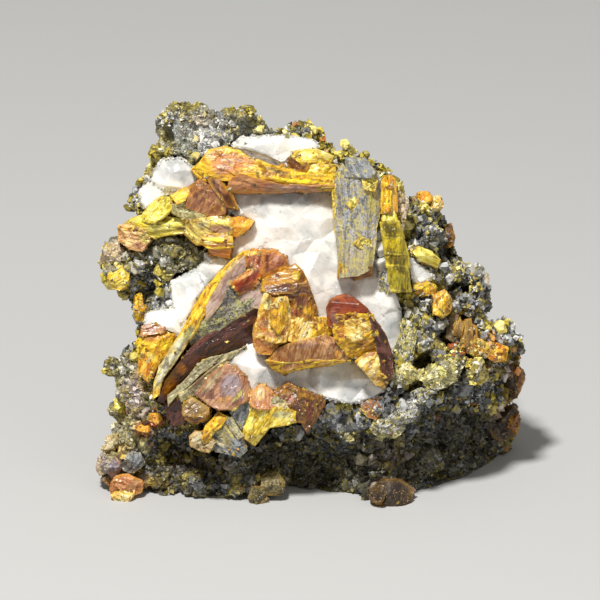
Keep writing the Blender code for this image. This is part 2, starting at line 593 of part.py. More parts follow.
    "right_fibre_crystal": dict(
        colour="brown",
        outline=[(22, 26.5), (22.4, 29.4), (24.5, 30.2), (27, 28.6), (27.4, 26.6), (24.5, 25.9)],
        floor=-8,
        facets=[(24.5, 28.4, 1.6, -0.4, -0.3), (24.5, 27.2, 1.4, -0.4, 0.5)],
    ),
    "right_orange_crystal": dict(
        colour="orange",
        outline=[(25, 24.2), (27, 25.8), (30, 26), (32.1, 24.8), (31.8, 22.9), (28, 22.7)],
        floor=-12,
        facets=[(28.5, 24.6, 0.8, -0.5, -0.3), (28.5, 23.8, 0.6, -0.5, 0.6)],
    ),
}

ORPIMENT_COLOURS = {
    # name: colour, roughness
    "red": ((0.55, 0.07, 0.01), 0.35),
    "amber": ((0.50, 0.20, 0.02), 0.35),
    "salmon": ((0.62, 0.30, 0.14), 0.4),
    "brown": ((0.22, 0.09, 0.04), 0.4),
    "grey": ((0.38, 0.36, 0.34), 0.4),
    "yellow": ((0.72, 0.45, 0.03), 0.4),
    "mauve": ((0.36, 0.24, 0.22), 0.4),
    "orange": ((0.65, 0.25, 0.02), 0.4),
}


def build_crystal(name, outline, floor, facets, finish):
    """A column from floor to well past the face, then trimmed to the space below every facet."""
    bm = bmesh.new()
    base = bm.faces.new([bm.verts.new(face(p.x, p.y, floor)) for p in grown(outline, -GAP / 2)])
    walls = bmesh.ops.extrude_face_region(bm, geom=[base])
    raised = [item for item in walls["geom"] if isinstance(item, bmesh.types.BMVert)]
    bmesh.ops.translate(bm, verts=raised, vec=leaned(0, 0, SOCKET_REACH - floor))
    for across, up, out, slope_across, slope_up in facets:
        normal = leaned(-slope_across, -slope_up, 1).normalized()
        trimmed = bmesh.ops.bisect_plane(
            bm,
            geom=bm.verts[:] + bm.edges[:] + bm.faces[:],
            plane_co=face(across, up, out),
            plane_no=normal,
            clear_outer=True,
        )
        rim = [item for item in trimmed["geom_cut"] if isinstance(item, bmesh.types.BMEdge)]
        bmesh.ops.contextual_create(bm, geom=rim)
    return add_object(name, bm, finish)


# ---- Assembly ------------------------------------------------------------------------------------------


def near(first, second):
    """Whether two outlines' boxes come near each other, so that one may have to be cut by the other."""
    for axis in (0, 1):
        first_places = [point[axis] for point in first]
        second_places = [point[axis] for point in second]
        if max(first_places) + GAP < min(second_places) or max(second_places) + GAP < min(first_places):
            return False
    return True


def build():
    for old in list(bpy.data.objects):
        bpy.data.objects.remove(old, do_unlink=True)
    rock = build_rock()
    white = material("calcite_white", (0.86, 0.86, 0.82), 0.45)
    finishes = {
        colour: material("orpiment_" + colour, rgb, roughness)
        for colour, (rgb, roughness) in ORPIMENT_COLOURS.items()
    }
    calcites = {
        "calcite_vein": CALCITE_VEIN,
        "calcite_top": CALCITE_TOP,
        "calcite_upper_left": CALCITE_UPPER_LEFT,
        "calcite_right": CALCITE_RIGHT,
    }
    vein_sockets = []
    crystal_sockets = []
    for name, shape in CRYSTALS.items():
        outline = shape["outline"]
        crystal = build_crystal(name, outline, shape["floor"], shape["facets"], finishes[shape["colour"]])
        in_front = [other for other, other_outline in crystal_sockets if near(outline, other_outline)]
        if in_front:
            cut(crystal, in_front)
        crystal_sockets.append((socket(name, outline, shape["floor"]), outline))
    for number, (name, outline) in enumerate(calcites.items()):
        calcite = build_calcite(name, outline, white, seed=40 + number)
        cut(calcite, [other for other, other_outline in crystal_sockets if near(outline, other_outline)])
        vein_sockets.append(socket(name, outline, CALCITE_FLOOR))
    cut(rock, [floor_cutter(), *vein_sockets, *(cutter for cutter, _ in crystal_sockets)])


build()
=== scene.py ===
import json
import math

import bmesh
import bpy
import numpy as np
from mathutils import Matrix, Vector, noise
from mathutils.bvhtree import BVHTree
from mathutils.kdtree import KDTree

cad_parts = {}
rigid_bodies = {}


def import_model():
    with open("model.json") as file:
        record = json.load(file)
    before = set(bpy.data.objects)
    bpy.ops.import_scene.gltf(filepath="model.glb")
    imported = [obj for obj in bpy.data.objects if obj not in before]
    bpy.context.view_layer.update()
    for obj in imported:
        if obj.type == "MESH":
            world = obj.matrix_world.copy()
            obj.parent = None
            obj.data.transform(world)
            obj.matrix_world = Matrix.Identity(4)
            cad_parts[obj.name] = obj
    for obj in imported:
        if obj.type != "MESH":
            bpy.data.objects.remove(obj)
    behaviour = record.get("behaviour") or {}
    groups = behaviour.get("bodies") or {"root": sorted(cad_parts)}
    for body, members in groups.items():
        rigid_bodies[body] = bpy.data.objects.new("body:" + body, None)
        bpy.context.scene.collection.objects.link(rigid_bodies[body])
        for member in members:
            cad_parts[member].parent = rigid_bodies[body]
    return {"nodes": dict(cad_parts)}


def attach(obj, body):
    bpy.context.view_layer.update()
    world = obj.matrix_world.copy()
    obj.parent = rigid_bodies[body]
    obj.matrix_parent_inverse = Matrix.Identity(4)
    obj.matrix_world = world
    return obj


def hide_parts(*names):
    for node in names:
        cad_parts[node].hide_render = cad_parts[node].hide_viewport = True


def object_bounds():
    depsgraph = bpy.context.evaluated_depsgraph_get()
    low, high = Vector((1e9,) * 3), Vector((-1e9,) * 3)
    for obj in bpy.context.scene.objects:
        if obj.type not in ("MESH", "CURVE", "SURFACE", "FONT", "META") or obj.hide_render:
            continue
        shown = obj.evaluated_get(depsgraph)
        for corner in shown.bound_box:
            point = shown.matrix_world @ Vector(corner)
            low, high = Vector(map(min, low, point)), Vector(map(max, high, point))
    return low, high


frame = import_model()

cad_low, cad_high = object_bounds()
scene = bpy.context.scene

# ---- Studio ----
# A flat pale floor that runs far out on every side, one soft key light above and to the left, and weak light
# all round. The camera looks square on to the display face, which leans back 20 degrees.
FACE_LEAN = math.radians(20)
FACE_FOOT = -0.018  # how far in front of the middle the display face meets the floor, in metres
MM = 0.001


def on_face(across, up, out):
    """A point given in millimetres across, up and out of the leaning display face."""
    lean_sin, lean_cos = math.sin(FACE_LEAN), math.cos(FACE_LEAN)
    return Vector((
        across * MM, (up * lean_sin - out * lean_cos) * MM + FACE_FOOT, (up * lean_cos + out * lean_sin) * MM))


def face_way(across, up, out):
    """A direction given across, up and out of the display face, as long as that many millimetres."""
    return on_face(across, up, out) - on_face(0, 0, 0)


FACE_OUT = face_way(0, 0, 1).normalized()
OUTWARDS = np.array(face_way(0, 0, 1)) / MM


def studio_paper():
    paper = bpy.data.materials.new("studio_paper")
    paper.use_nodes = True
    shader = paper.node_tree.nodes["Principled BSDF"]
    shader.inputs["Base Color"].default_value = (0.49, 0.50, 0.51, 1)
    shader.inputs["Roughness"].default_value = 0.9
    return paper


bm = bmesh.new()
bmesh.ops.create_grid(bm, x_segments=8, y_segments=8, size=4)
floor_mesh = bpy.data.meshes.new("studio_floor")
bm.to_mesh(floor_mesh)
bm.free()
floor_mesh.materials.append(studio_paper())
floor = bpy.data.objects.new("studio_floor", floor_mesh)
scene.collection.objects.link(floor)

CAMERA_LENS, CAMERA_DISTANCE = 450, 1.215
AIMED_AT = (-1.62, 32.41)  # across and up the display face, in millimetres
camera_data = bpy.data.cameras.new("camera")
camera_data.lens = CAMERA_LENS
camera_data.sensor_width = 36
camera_data.clip_start = 0.01
camera = bpy.data.objects.new("camera", camera_data)
camera.location = on_face(*AIMED_AT, CAMERA_DISTANCE / MM)
camera.rotation_euler = (math.pi / 2 - FACE_LEAN, 0, 0)
scene.collection.objects.link(camera)
scene.camera = camera


def lamp(name, place, size, power, colour):
    data = bpy.data.lights.new(name, "AREA")
    data.shape = "DISK"
    data.size = size
    data.energy = power
    data.color = colour
    light = bpy.data.objects.new(name, data)
    light.location = place
    light.rotation_euler = (Vector((0, 0, 0.03)) - Vector(place)).to_track_quat("-Z", "Y").to_euler()
    scene.collection.objects.link(light)


lamp("key_light", (-0.19, -0.38, 0.85), 0.12, 11.2, (1.0, 0.97, 0.915))
lamp("fill_light", (0.6, -0.6, 0.35), 0.6, 0.9, (0.96, 0.96, 0.95))
world = bpy.data.worlds.new("studio_air")
world.use_nodes = True
world.node_tree.nodes["Background"].inputs["Color"].default_value = (1.0, 0.965, 0.90, 1)
world.node_tree.nodes["Background"].inputs["Strength"].default_value = 0.27
scene.world = world
scene.view_settings.view_transform = "Standard"
scene.view_settings.look = "None"

# ---- Rock matrix ----
# Granular sulphide ore: grey metallic grains with crusts of olive to yellow orpiment, some calcite and a
# little orange realgar. The block was broken from a vein, and its underside is cut flat.
ROCK_VOXEL = 0.45 * MM

# What the ore is made of: where on the display face, how far it spreads, and the shares there of yellow
# orpiment, white calcite and orange realgar. The rest is grey ore.
ORE_BASE = (0.46, 0.14, 0.015)
ORE_PATCHES = [
    # across, up, spread across, spread up, yellow, white, orange
    (-17, 59, 7, 4, 0.30, 0.36, 0.0),
    (-21, 63, 7, 1.6, 0.55, 0.2, 0.0),
    (-24.5, 56, 2.2, 5, 0.66, 0.1, 0.0),
    (-6, 60, 8, 1.8, 0.35, 0.22, 0.0),
    (8, 55, 10, 4, 0.78, 0.12, 0.03),
    (-28, 49, 3, 3, 0.35, 0.3, 0.0),
    (-21, 39.5, 6, 3.5, 0.40, 0.12, 0.0),
    (-31, 37, 3.5, 4, 0.78, 0.1, 0.0),
    (-27, 32, 4, 3, 0.3, 0.2, 0.0),
    (-24, 31, 3, 2.5, 0.15, 0.45, 0.0),
    (18.5, 49, 2, 1.6, 0.5, 0.1, 0.4),
    (20, 43, 4, 4, 0.34, 0.26, 0.0),
    (17.5, 38, 3, 3, 0.5, 0.3, 0.0),
    (25, 34, 5, 5, 0.36, 0.28, 0.0),
    (17, 28, 5, 5, 0.66, 0.2, 0.0),
    (28, 24.5, 5, 2.2, 0.4, 0.05, 0.5),
    (20, 21, 7, 3, 0.85, 0.1, 0.0),
    (15, 14, 5, 3, 0.42, 0.36, 0.0),
    (32, 26, 3, 3, 0.4, 0.25, 0.1),
    (8, 5, 22, 8, 0.3, 0.03, 0.0),
    (27, 10, 9, 9, 0.26, 0.03, 0.01),
    (33, 16, 2.5, 8, 0.45, 0.05, 0.1),
    (-30, 14, 5, 10, 0.46, 0.26, 0.08),
    (-26, 12, 2.5, 2.5, 0.4, 0.1, 0.5),
    (-30, 2.5, 5, 3, 0.5, 0.1, 0.35),
    (13.5, 0.5, 4, 2.5, 0.4, 0.05, 0.1),
]


def to_face(points):
    """Points in metres, as rows of across, up and out in millimetres."""
    lean_sin, lean_cos = math.sin(FACE_LEAN), math.cos(FACE_LEAN)
    x, y, z = points[:, 0], points[:, 1] - FACE_FOOT, points[:, 2]
    return np.column_stack((x, y * lean_sin + z * lean_cos, z * lean_sin - y * lean_cos)) / MM


def away_from(place, across, up, wide, tall):
    """How far face points lie from a spot, where 1 is the rim of its ellipse."""
    return np.hypot((place[:, 0] - across) / wide, (place[:, 1] - up) / tall)


def ore_shares(points):
    """The shares of yellow, white and orange at each point."""
    place = to_face(points)
    shares = np.tile(np.array(ORE_BASE), (len(points), 1))
    front = np.clip((place[:, 2] + 22) / 14, 0, 1)
    for across, up, wide, tall, *share in ORE_PATCHES:
        weight = np.clip(1.5 - away_from(place, across, up, wide, tall), 0, 1) * front
        shares += (np.array(share) - shares) * weight[:, None]
    drift = np.array([noise.noise(Vector(p) * 0.16) for p in place])
    patchy = np.array([noise.noise(Vector(p) * 0.45 + Vector((7, 3, 1))) for p in place])
    shares[:, 0] *= np.clip(1 + 1.1 * drift + 1.7 * patchy, 0.1, 2.4)
    shares[:, 1] *= np.clip(1 - 0.9 * drift - 1.2 * patchy, 0.2, 2)
    shares[:, 2] *= np.clip(1 + 1.8 * patchy, 0.2, 2)
    return np.clip(shares, 0, 0.95)


# Where the ore takes a tint: across, up, spread, spread, colour, strength. Most rows are the ore's own
# colour; the rows marked below as painted shade darken cavities, clefts under the ledges and the foot.
ORE_TINTS_AND_SHADE = [
    (0, 30, 60, 60, (0.16, 0.16, 0.15), 0.3), (-17, 59, 8, 4.5, (0.66, 0.68, 0.66), 0.86),
    (-20.4, 57.4, 2.6, 2.2, (0.42, 0.43, 0.34), 0.84), (-17.5, 62, 2.2, 1.4, (0.62, 0.54, 0.42), 0.9),
    (-16.5, 59, 2, 2, (0.82, 0.82, 0.8), 0.85), (-24.4, 55.5, 2.2, 5.5, (0.72, 0.6, 0.12), 0.84),
    (-20, 64.4, 6, 1.6, (0.52, 0.47, 0.22), 0.8), (-10, 62, 3, 1.2, (0.4, 0.38, 0.18), 0.75),
    (-5, 60, 5, 1.6, (0.42, 0.4, 0.24), 0.75), (8, 56, 7, 1.8, (0.56, 0.48, 0.12), 0.75),
    (15, 51.5, 3, 2.5, (0.52, 0.44, 0.12), 0.75), (-21, 39.5, 6, 3.4, (0.36, 0.35, 0.22), 0.86),
    (-16, 38.6, 1.4, 1.4, (0.1, 0.1, 0.11), 0.83), (-31, 39, 3, 3.6, (0.54, 0.48, 0.28), 0.75),
    (-28, 33, 3, 1.6, (0.05, 0.05, 0.04), 0.85), (-24, 31, 3, 2.5, (0.44, 0.46, 0.44), 0.7),
    (16.4, 47, 1.6, 3, (0.16, 0.16, 0.06), 0.8), (20, 43, 4, 3.6, (0.22, 0.225, 0.21), 0.7),
    # painted shade: the near-black spots at (22.6, 40.2) here and (24.0, 34.2) on the next line darken the cavities
    (22.6, 40.2, 2.0, 1.6, (0.03, 0.03, 0.03), 0.9), (23, 37.6, 4, 2, (0.46, 0.47, 0.42), 0.6),
    (28, 38, 2, 2.4, (0.5, 0.44, 0.24), 0.6), (24.0, 34.2, 2, 1.3, (0.03, 0.03, 0.03), 0.9),
    (26, 31, 3, 3, (0.36, 0.37, 0.4), 0.6), (17, 30.5, 2.2, 2.0, (0.1, 0.095, 0.06), 0.7),
    (16.2, 27.5, 2.4, 3.2, (0.44, 0.41, 0.12), 0.75), (20, 26, 3, 3, (0.38, 0.38, 0.4), 0.75),
    (18, 30, 2.4, 1.2, (0.1, 0.095, 0.07), 0.8), (22.4, 29.4, 2, 2.4, (0.34, 0.34, 0.3), 0.7),
    (14.4, 20.4, 2.8, 1.8, (0.74, 0.68, 0.38), 0.74), (21, 20.5, 4.4, 2.4, (0.84, 0.76, 0.38), 0.78),
    (28.5, 21, 3, 1.6, (0.52, 0.44, 0.28), 0.7), (15, 14, 3.4, 2.4, (0.4, 0.41, 0.4), 0.75),
    (12.5, 10.8, 2.6, 1.0, (0.62, 0.55, 0.24), 0.8), (33.5, 18, 2, 6.5, (0.4, 0.17, 0.03), 0.8),
    # painted shade: the dark rows from (24, 9) here to (13, 7) four lines down darken the foot under the ledge; their
    # hues are the ore's own
    (32, 12, 3.4, 3.2, (0.32, 0.13, 0.03), 0.75), (24, 9, 9, 7, (0.06, 0.055, 0.034), 0.95),
    (4, 5, 18, 6.5, (0.06, 0.053, 0.026), 0.95), (-20, 4, 8, 6, (0.11, 0.088, 0.036), 0.86),
    (-16, 2.6, 4, 1.6, (0.075, 0.085, 0.1), 0.8), (8, 1.6, 4, 1.6, (0.1, 0.095, 0.045), 0.8),
    (3, 9, 4, 2, (0.045, 0.06, 0.085), 0.8), (18, 12, 3.4, 1.6, (0.07, 0.085, 0.11), 0.8),
    (22, 6, 4, 1.6, (0.1, 0.095, 0.05), 0.8), (13, 7, 3, 1.6, (0.13, 0.07, 0.035), 0.7),
    (-30, 14, 4.6, 10, (0.52, 0.47, 0.28), 0.86), (-31, 21, 2, 2, (0.36, 0.35, 0.24), 0.8),
    (-28.8, 18, 2, 1.8, (0.54, 0.43, 0.44), 0.8), (-31, 14, 1.6, 2.4, (0.54, 0.45, 0.12), 0.8),
    (-28.2, 15, 1.8, 1.8, (0.46, 0.35, 0.34), 0.8), (-33, 9, 1.5, 2, (0.72, 0.66, 0.4), 0.85),
    (-33.6, 5, 1.8, 2.5, (0.56, 0.46, 0.44), 0.85), (-31.5, 5, 1.2, 2, (0.48, 0.38, 0.46), 0.85),
    (-30, 8, 1.6, 1.0, (0.76, 0.46, 0.1), 0.85), (-26, 20, 2, 3, (0.66, 0.42, 0.03), 0.75),
    # painted shade: (-21.8, 14) and (-18, 7) darken the recess beside the small brown block
    (-21.8, 14, 2.2, 2.2, (0.035, 0.016, 0.01), 0.95), (-18, 7, 5, 2.5, (0.055, 0.034, 0.014), 0.88),
    (-27, 11.3, 1.6, 1.4, (0.62, 0.22, 0.07), 0.8), (-24.8, 13, 1.2, 1.2, (0.72, 0.1, 0.01), 0.9),
    (-28.6, 6.6, 2, 1.8, (0.3, 0.3, 0.31), 0.85), (-30, 2, 4.6, 2.6, (0.62, 0.32, 0.06), 0.85),
    (-6, 3, 3, 2.6, (0.2, 0.18, 0.07), 0.85), (13.3, 0.6, 3.8, 2.8, (0.34, 0.15, 0.04), 0.85),
    (4.4, 13.4, 3.4, 2.0, (0.62, 0.66, 0.72), 0.92), (6.6, 10.2, 1.2, 0.8, (0.9, 0.8, 0.34), 0.92),
    # painted shade: this line and the next darken the cavity and the clefts under the ledge plates
    (18.7, 22.7, 2.0, 1.4, (0.025, 0.025, 0.02), 0.95), (23.9, 21, 0.5, 1.8, (0.04, 0.04, 0.03), 0.95),
    (15.2, 17.2, 3.0, 0.8, (0.03, 0.03, 0.025), 0.95), (21.6, 17.4, 2.6, 0.7, (0.035, 0.035, 0.03), 0.95),
]


def ore_tints_and_shade(points):
    """The colour of the ground mass at each point, painted shade included, and how far it takes over."""
    place = to_face(points)
    colours = np.zeros((len(points), 3))
    held = np.zeros(len(points))
    front = np.clip((place[:, 2] + 24) / 10, 0, 1)
    for across, up, wide, tall, colour, strength in ORE_TINTS_AND_SHADE:
        weight = np.clip(2.2 * (1.2 - away_from(place, across, up, wide, tall)), 0, 1) * front * strength
        colours += (np.array(colour) - colours) * weight[:, None]
        held += (strength - held) * weight
    return colours, held


def merged_copy(node):
    """A CAD node's mesh as a bmesh, with its loose triangles joined."""
    bm = bmesh.new()
    bm.from_mesh(frame["nodes"][node].data)
    bmesh.ops.remove_doubles(bm, verts=bm.verts[:], dist=1e-6)
    return bm


def new_object(name, bm):
    mesh = bpy.data.meshes.new(name)
    bm.to_mesh(mesh)
    bm.free()
    made = bpy.data.objects.new(name, mesh)
    scene.collection.objects.link(made)
    return made


def applied(piece):
    """Bakes a piece's modifiers into its mesh."""
    shaped = bpy.data.meshes.new_from_object(piece.evaluated_get(bpy.context.evaluated_depsgraph_get()))
    piece.modifiers.clear()
    old, piece.data = piece.data, shaped
    bpy.data.meshes.remove(old)
    return piece


def coordinates(mesh):
    flat = np.empty(len(mesh.vertices) * 3, np.float32)
    mesh.vertices.foreach_get("co", flat)
    return flat.reshape(-1, 3).astype(float)


def vertex_normals(mesh):
    flat = np.empty(len(mesh.vertices) * 3, np.float32)
    mesh.vertex_normals.foreach_get("vector", flat)
    return flat.reshape(-1, 3).astype(float)


def move_vertices(mesh, points):
    mesh.vertices.foreach_set("co", points.astype(np.float32).ravel())
    mesh.update()


def broken_cells(points, seed, size, step, tilt, crack=0.0):
    """A surface broken into tilted cells: the height at each point, and a tone from 0 to 1 for its cell.

    Cells of the given size are up to step high or low and lean by up to tilt, with clefts of depth crack between.
    """
    dice = np.random.default_rng(seed)
    low, high = points.min(axis=0) - size, points.max(axis=0) + size
    count = int(np.prod((high - low) / size)) + 2
    centres = dice.uniform(low, high, (count, 3))
    tree = KDTree(count)
    for i, centre in enumerate(centres):
        tree.insert(centre, i)
    tree.balance()
    steps = dice.uniform(-step, step, count)
    tilts = dice.uniform(-tilt, tilt, (count, 3))
    tones = dice.random(count)
    near = np.array([[found[k] for found in tree.find_n(point, 2) for k in (1, 2)] for point in points])
    first = near[:, 0].astype(int)
    heights = steps[first] + np.einsum("ij,ij->i", tilts[first], points - centres[first])
    heights -= crack * np.clip(1 - (near[:, 3] - near[:, 1]) / (0.25 * size), 0, 1)
    return heights, tones[first]


def store_colour(mesh, name, colours, alpha=1.0):
    layer = mesh.attributes.new(name, "FLOAT_COLOR", "POINT")
    rows = np.ones((len(colours), 4), np.float32)
    rows[:, :3] = colours
    rows[:, 3] = alpha
    layer.data.foreach_set("color", rows.ravel())


def node(tree, kind, inputs=None, **settings):
    """A shader node with its settings and inputs, where an input is a value or another node's socket."""
    made = tree.nodes.new(kind)
    for key, value in settings.items():
        setattr(made, key, value)
    for key, value in (inputs or {}).items():
        target = made.inputs[key]
        if isinstance(value, bpy.types.NodeSocket):
            tree.links.new(value, target)
        else:
            target.default_value = value
    return made


def math_node(tree, operation, *values, clamp=False):
    return node(tree, "ShaderNodeMath", dict(enumerate(values)), operation=operation, use_clamp=clamp).outputs[0]


def blend_colour(tree, share, first, second, how="MIX"):
    made = tree.nodes.new("ShaderNodeMix")
    made.data_type = "RGBA"
    made.blend_type = how
    for key, value in ((0, share), (6, first), (7, second)):
        if isinstance(value, bpy.types.NodeSocket):
            tree.links.new(value, made.inputs[key])
        else:
            made.inputs[key].default_value = (*value, 1) if isinstance(value, tuple) else value
    return made.outputs[2]


def ramp(tree, factor, stops):
    made = node(tree, "ShaderNodeValToRGB", {"Fac": factor})
    made.color_ramp.interpolation = "LINEAR"
    elements = made.color_ramp.elements
    for i, (place, colour) in enumerate(stops):
        element = elements[i] if i < 2 else elements.new(place)
        element.position = place
        element.color = (*colour, 1)
    return made.outputs[0]


def ramp_value(tree, value, low, high):
    """0 below low, 1 above high, and a straight line between."""
    return node(tree, "ShaderNodeMapRange", {"Value": value, "From Min": low, "From Max": high}).outputs[0]


def in_millimetres(tree, place):
    return vector_node(tree, "MULTIPLY", place, (1000.0, 1000.0, 1000.0)).outputs[0]


def finished(tree, shader, colour, roughness, height, strength, distance):
    """Links a material's colour, its roughness and the height of its finest relief."""
    tree.links.new(colour, shader.inputs["Base Color"])
    tree.links.new(roughness, shader.inputs["Roughness"])
    bump = node(tree, "ShaderNodeBump", {"Height": height, "Strength": strength, "Distance": distance})
    tree.links.new(bump.outputs[0], shader.inputs["Normal"])


def new_material(name):
    made = bpy.data.materials.new(name)
    made.use_nodes = True
    tree = made.node_tree
    return made, tree, tree.nodes["Principled BSDF"]


def new_group(name, inputs, outputs):
    """An empty shader group with named sockets, where an input is None for a vector, a number or a colour."""
    tree = bpy.data.node_groups.new(name, "ShaderNodeTree")
    for key, value in inputs.items():
        kind = "Vector" if value is None else "Color" if isinstance(value, tuple) else "Float"
        socket = tree.interface.new_socket(key, in_out="INPUT", socket_type="NodeSocket" + kind)
        if value is not None:
            socket.default_value = (*value, 1) if isinstance(value, tuple) else value
    for key, kind in outputs.items():
        tree.interface.new_socket(key, in_out="OUTPUT", socket_type="NodeSocket" + kind)
    return tree, tree.nodes.new("NodeGroupInput").outputs, tree.nodes.new("NodeGroupOutput").inputs


def vector_node(tree, operation, first, second):
    return node(tree, "ShaderNodeVectorMath", {0: first, 1: second}, operation=operation)


NO_GLINT = 0.93  # the share of the breaks that don't glint


def facet_group(name, metric):
    """Small flat breaks that each lean their own way, with a tone for each and a glint on a few."""
    tree, entry, result = new_group(
        name,
        {"Vector": None, "Size": 1.0, "Tilt": 0.3, "Step": 0.05},
        {"Height": "Float", "Tone": "Float", "Glint": "Float"})
    cells = node(tree, "ShaderNodeTexVoronoi", {
        "Vector": entry["Vector"], "Scale": math_node(tree, "DIVIDE", 1.0, entry["Size"])}, distance=metric)
    away = vector_node(tree, "SUBTRACT", entry["Vector"], cells.outputs["Position"]).outputs[0]
    lean = vector_node(tree, "SUBTRACT", cells.outputs["Color"], (0.5, 0.5, 0.5)).outputs[0]
    slope = vector_node(tree, "DOT_PRODUCT", away, lean).outputs["Value"]
    picked = node(tree, "ShaderNodeSeparateColor", {"Color": cells.outputs["Color"]}).outputs
    leaning = math_node(tree, "MULTIPLY", slope, math_node(tree, "MULTIPLY", entry["Tilt"], 2.0))
    stepped = math_node(tree, "MULTIPLY", picked[0], entry["Step"])
    tree.links.new(math_node(tree, "ADD", stepped, leaning), result["Height"])
    tree.links.new(picked[1], result["Tone"])
    tree.links.new(math_node(tree, "GREATER_THAN", picked[2], NO_GLINT), result["Glint"])
    return tree


broken_facets = facet_group("broken_facets", "EUCLIDEAN")

# Fine grit: a roughness that varies round a value, and the height of the grit.
fine_grit, entry, result = new_group(
    "fine_grit",
    {"Vector": None, "Scale": 3600.0, "Roughness": 0.3, "Spread": 0.3},
    {"Roughness": "Float", "Height": "Float"})
grit = node(fine_grit, "ShaderNodeTexNoise", {"Vector": entry["Vector"], "Scale": entry["Scale"], "Detail": 3.0})
varied = math_node(fine_grit, "MULTIPLY", grit.outputs["Fac"], entry["Spread"])
fine_grit.links.new(math_node(fine_grit, "ADD", varied, entry["Roughness"], clamp=True), result["Roughness"])
fine_grit.links.new(grit.outputs["Fac"], result["Height"])


def used(tree, group, inputs):
    """A shader group placed in a material, as its outputs."""
    return node(tree, "ShaderNodeGroup", inputs, node_tree=group).outputs


def ore_material():
    """The ground between the loose grains: fine dark ore with specks of each colour."""
    made, tree, shader = new_material("granular_ore")
    place = node(tree, "ShaderNodeTexCoord").outputs["Object"]
    shares = node(tree, "ShaderNodeSeparateColor", {
        "Color": node(tree, "ShaderNodeAttribute", attribute_name="shares").outputs["Color"]})
    tint = node(tree, "ShaderNodeAttribute", attribute_name="tint")
    grains = node(tree, "ShaderNodeTexVoronoi", {"Vector": place, "Scale": 2300.0})
    edges = node(tree, "ShaderNodeTexVoronoi", {"Vector": place, "Scale": 2300.0}, feature="DISTANCE_TO_EDGE")
    pick = node(tree, "ShaderNodeSeparateColor", {"Color": grains.outputs["Color"]})
    breaks = used(tree, broken_facets, {
        "Vector": in_millimetres(tree, place), "Size": 0.42, "Tilt": 0.7, "Step": 0.12})
    grit = used(tree, fine_grit, {"Vector": place, "Scale": 5200.0, "Roughness": 0.28, "Spread": 0.35})
    grey = ramp(tree, pick.outputs[1], [
        (0.0, (0.02, 0.02, 0.02)), (0.35, (0.08, 0.08, 0.075)), (0.75, (0.2, 0.21, 0.22)), (1.0, (0.42, 0.45, 0.5))])
    yellow = ramp(tree, pick.outputs[1], [
        (0.0, (0.14, 0.12, 0.012)), (0.5, (0.36, 0.29, 0.03)), (1.0, (0.68, 0.56, 0.12))])
    is_yellow = math_node(tree, "LESS_THAN", pick.outputs[0], shares.outputs[0])
    is_white = math_node(tree, "LESS_THAN", pick.outputs[2], math_node(tree, "MULTIPLY", shares.outputs[1], 0.6))
    colour = blend_colour(tree, is_yellow, grey, yellow)
    colour = blend_colour(tree, is_white, colour, (0.66, 0.68, 0.68))
    shaded = blend_colour(tree, 1.0, tint.outputs["Color"], ramp(tree, breaks["Tone"], [
        (0.0, (0.5, 0.5, 0.5)), (1.0, (1.0, 1.0, 1.0))]), "MULTIPLY")
    colour = blend_colour(tree, math_node(tree, "MULTIPLY", tint.outputs["Alpha"], 0.8), colour, shaded)
    seam = ramp_value(tree, edges.outputs["Distance"], 0.0, 0.10)
    colour = blend_colour(tree, seam, blend_colour(tree, 0.55, colour, (0.02, 0.018, 0.012)), colour)
    height = math_node(tree, "ADD", breaks["Height"], math_node(tree, "MULTIPLY", grit["Height"], 0.08))
    finished(tree, shader, colour, grit["Roughness"], height, 1.0, 0.001)
    return made


HOLLOWS = [
    # across, up, reach along, reach over, turn, depth: the dark cavities and clefts of the rock
    (18.7, 22.7, 2.1, 1.4, 35, 4.5),
    (15.0, 17.3, 3.2, 0.5, 35, 1.8),
    (24.6, 20.4, 2.0, 0.5, 80, 1.8),
    (21.0, 17.6, 3.0, 0.45, 18, 1.8),
    (22.6, 40.2, 1.9, 1.3, -30, 3.5),
    (24.0, 34.2, 1.7, 1.2, 0, 3.5),
    (16.0, 48.6, 0.6, 1.3, 20, 1.8),
    (27.0, 33.0, 0.9, 0.7, 60, 2.0),
]


def turned_by(x, y, degrees):
    """Coordinates along and across a direction that is turned by so many degrees."""
    turn = math.radians(degrees)
    return x * math.cos(turn) + y * math.sin(turn), y * math.cos(turn) - x * math.sin(turn)


def hollow_depth(place):
    """How deep the cavities cut at each face point, in millimetres."""
    depth = np.zeros(len(place))
    for across, up, reach_along, reach_over, turned, most in HOLLOWS:
        along, over = turned_by(place[:, 0] - across, place[:, 1] - up, turned)
        away = np.hypot(along / reach_along, over / reach_over)
        depth = np.maximum(depth, most * np.clip(1.6 * (1.25 - away), 0, 1) * (place[:, 2] > -18))
    return depth


ROCK_BREAKS = [
    # size, step, tilt, crack: how the rock breaks, from large to small, in millimetres but for the tilt
    (5.5, 0.8, 0.22, 0.7),
    (2.6, 0.55, 0.35, 0.4),
    (1.2, 0.26, 0.35, 0.15),
]
FLAT_FOOT = 0.3 * MM  # below this height the rock stays flat, since it rests there
CREST_RISE = 1.1 * MM  # how much higher than the solid the crest at the top left stands
SIDE_MARGIN, DRAWN_BACK = 0.8 * MM, 0.65  # near the sides of the CAD box the relief is drawn back by this share

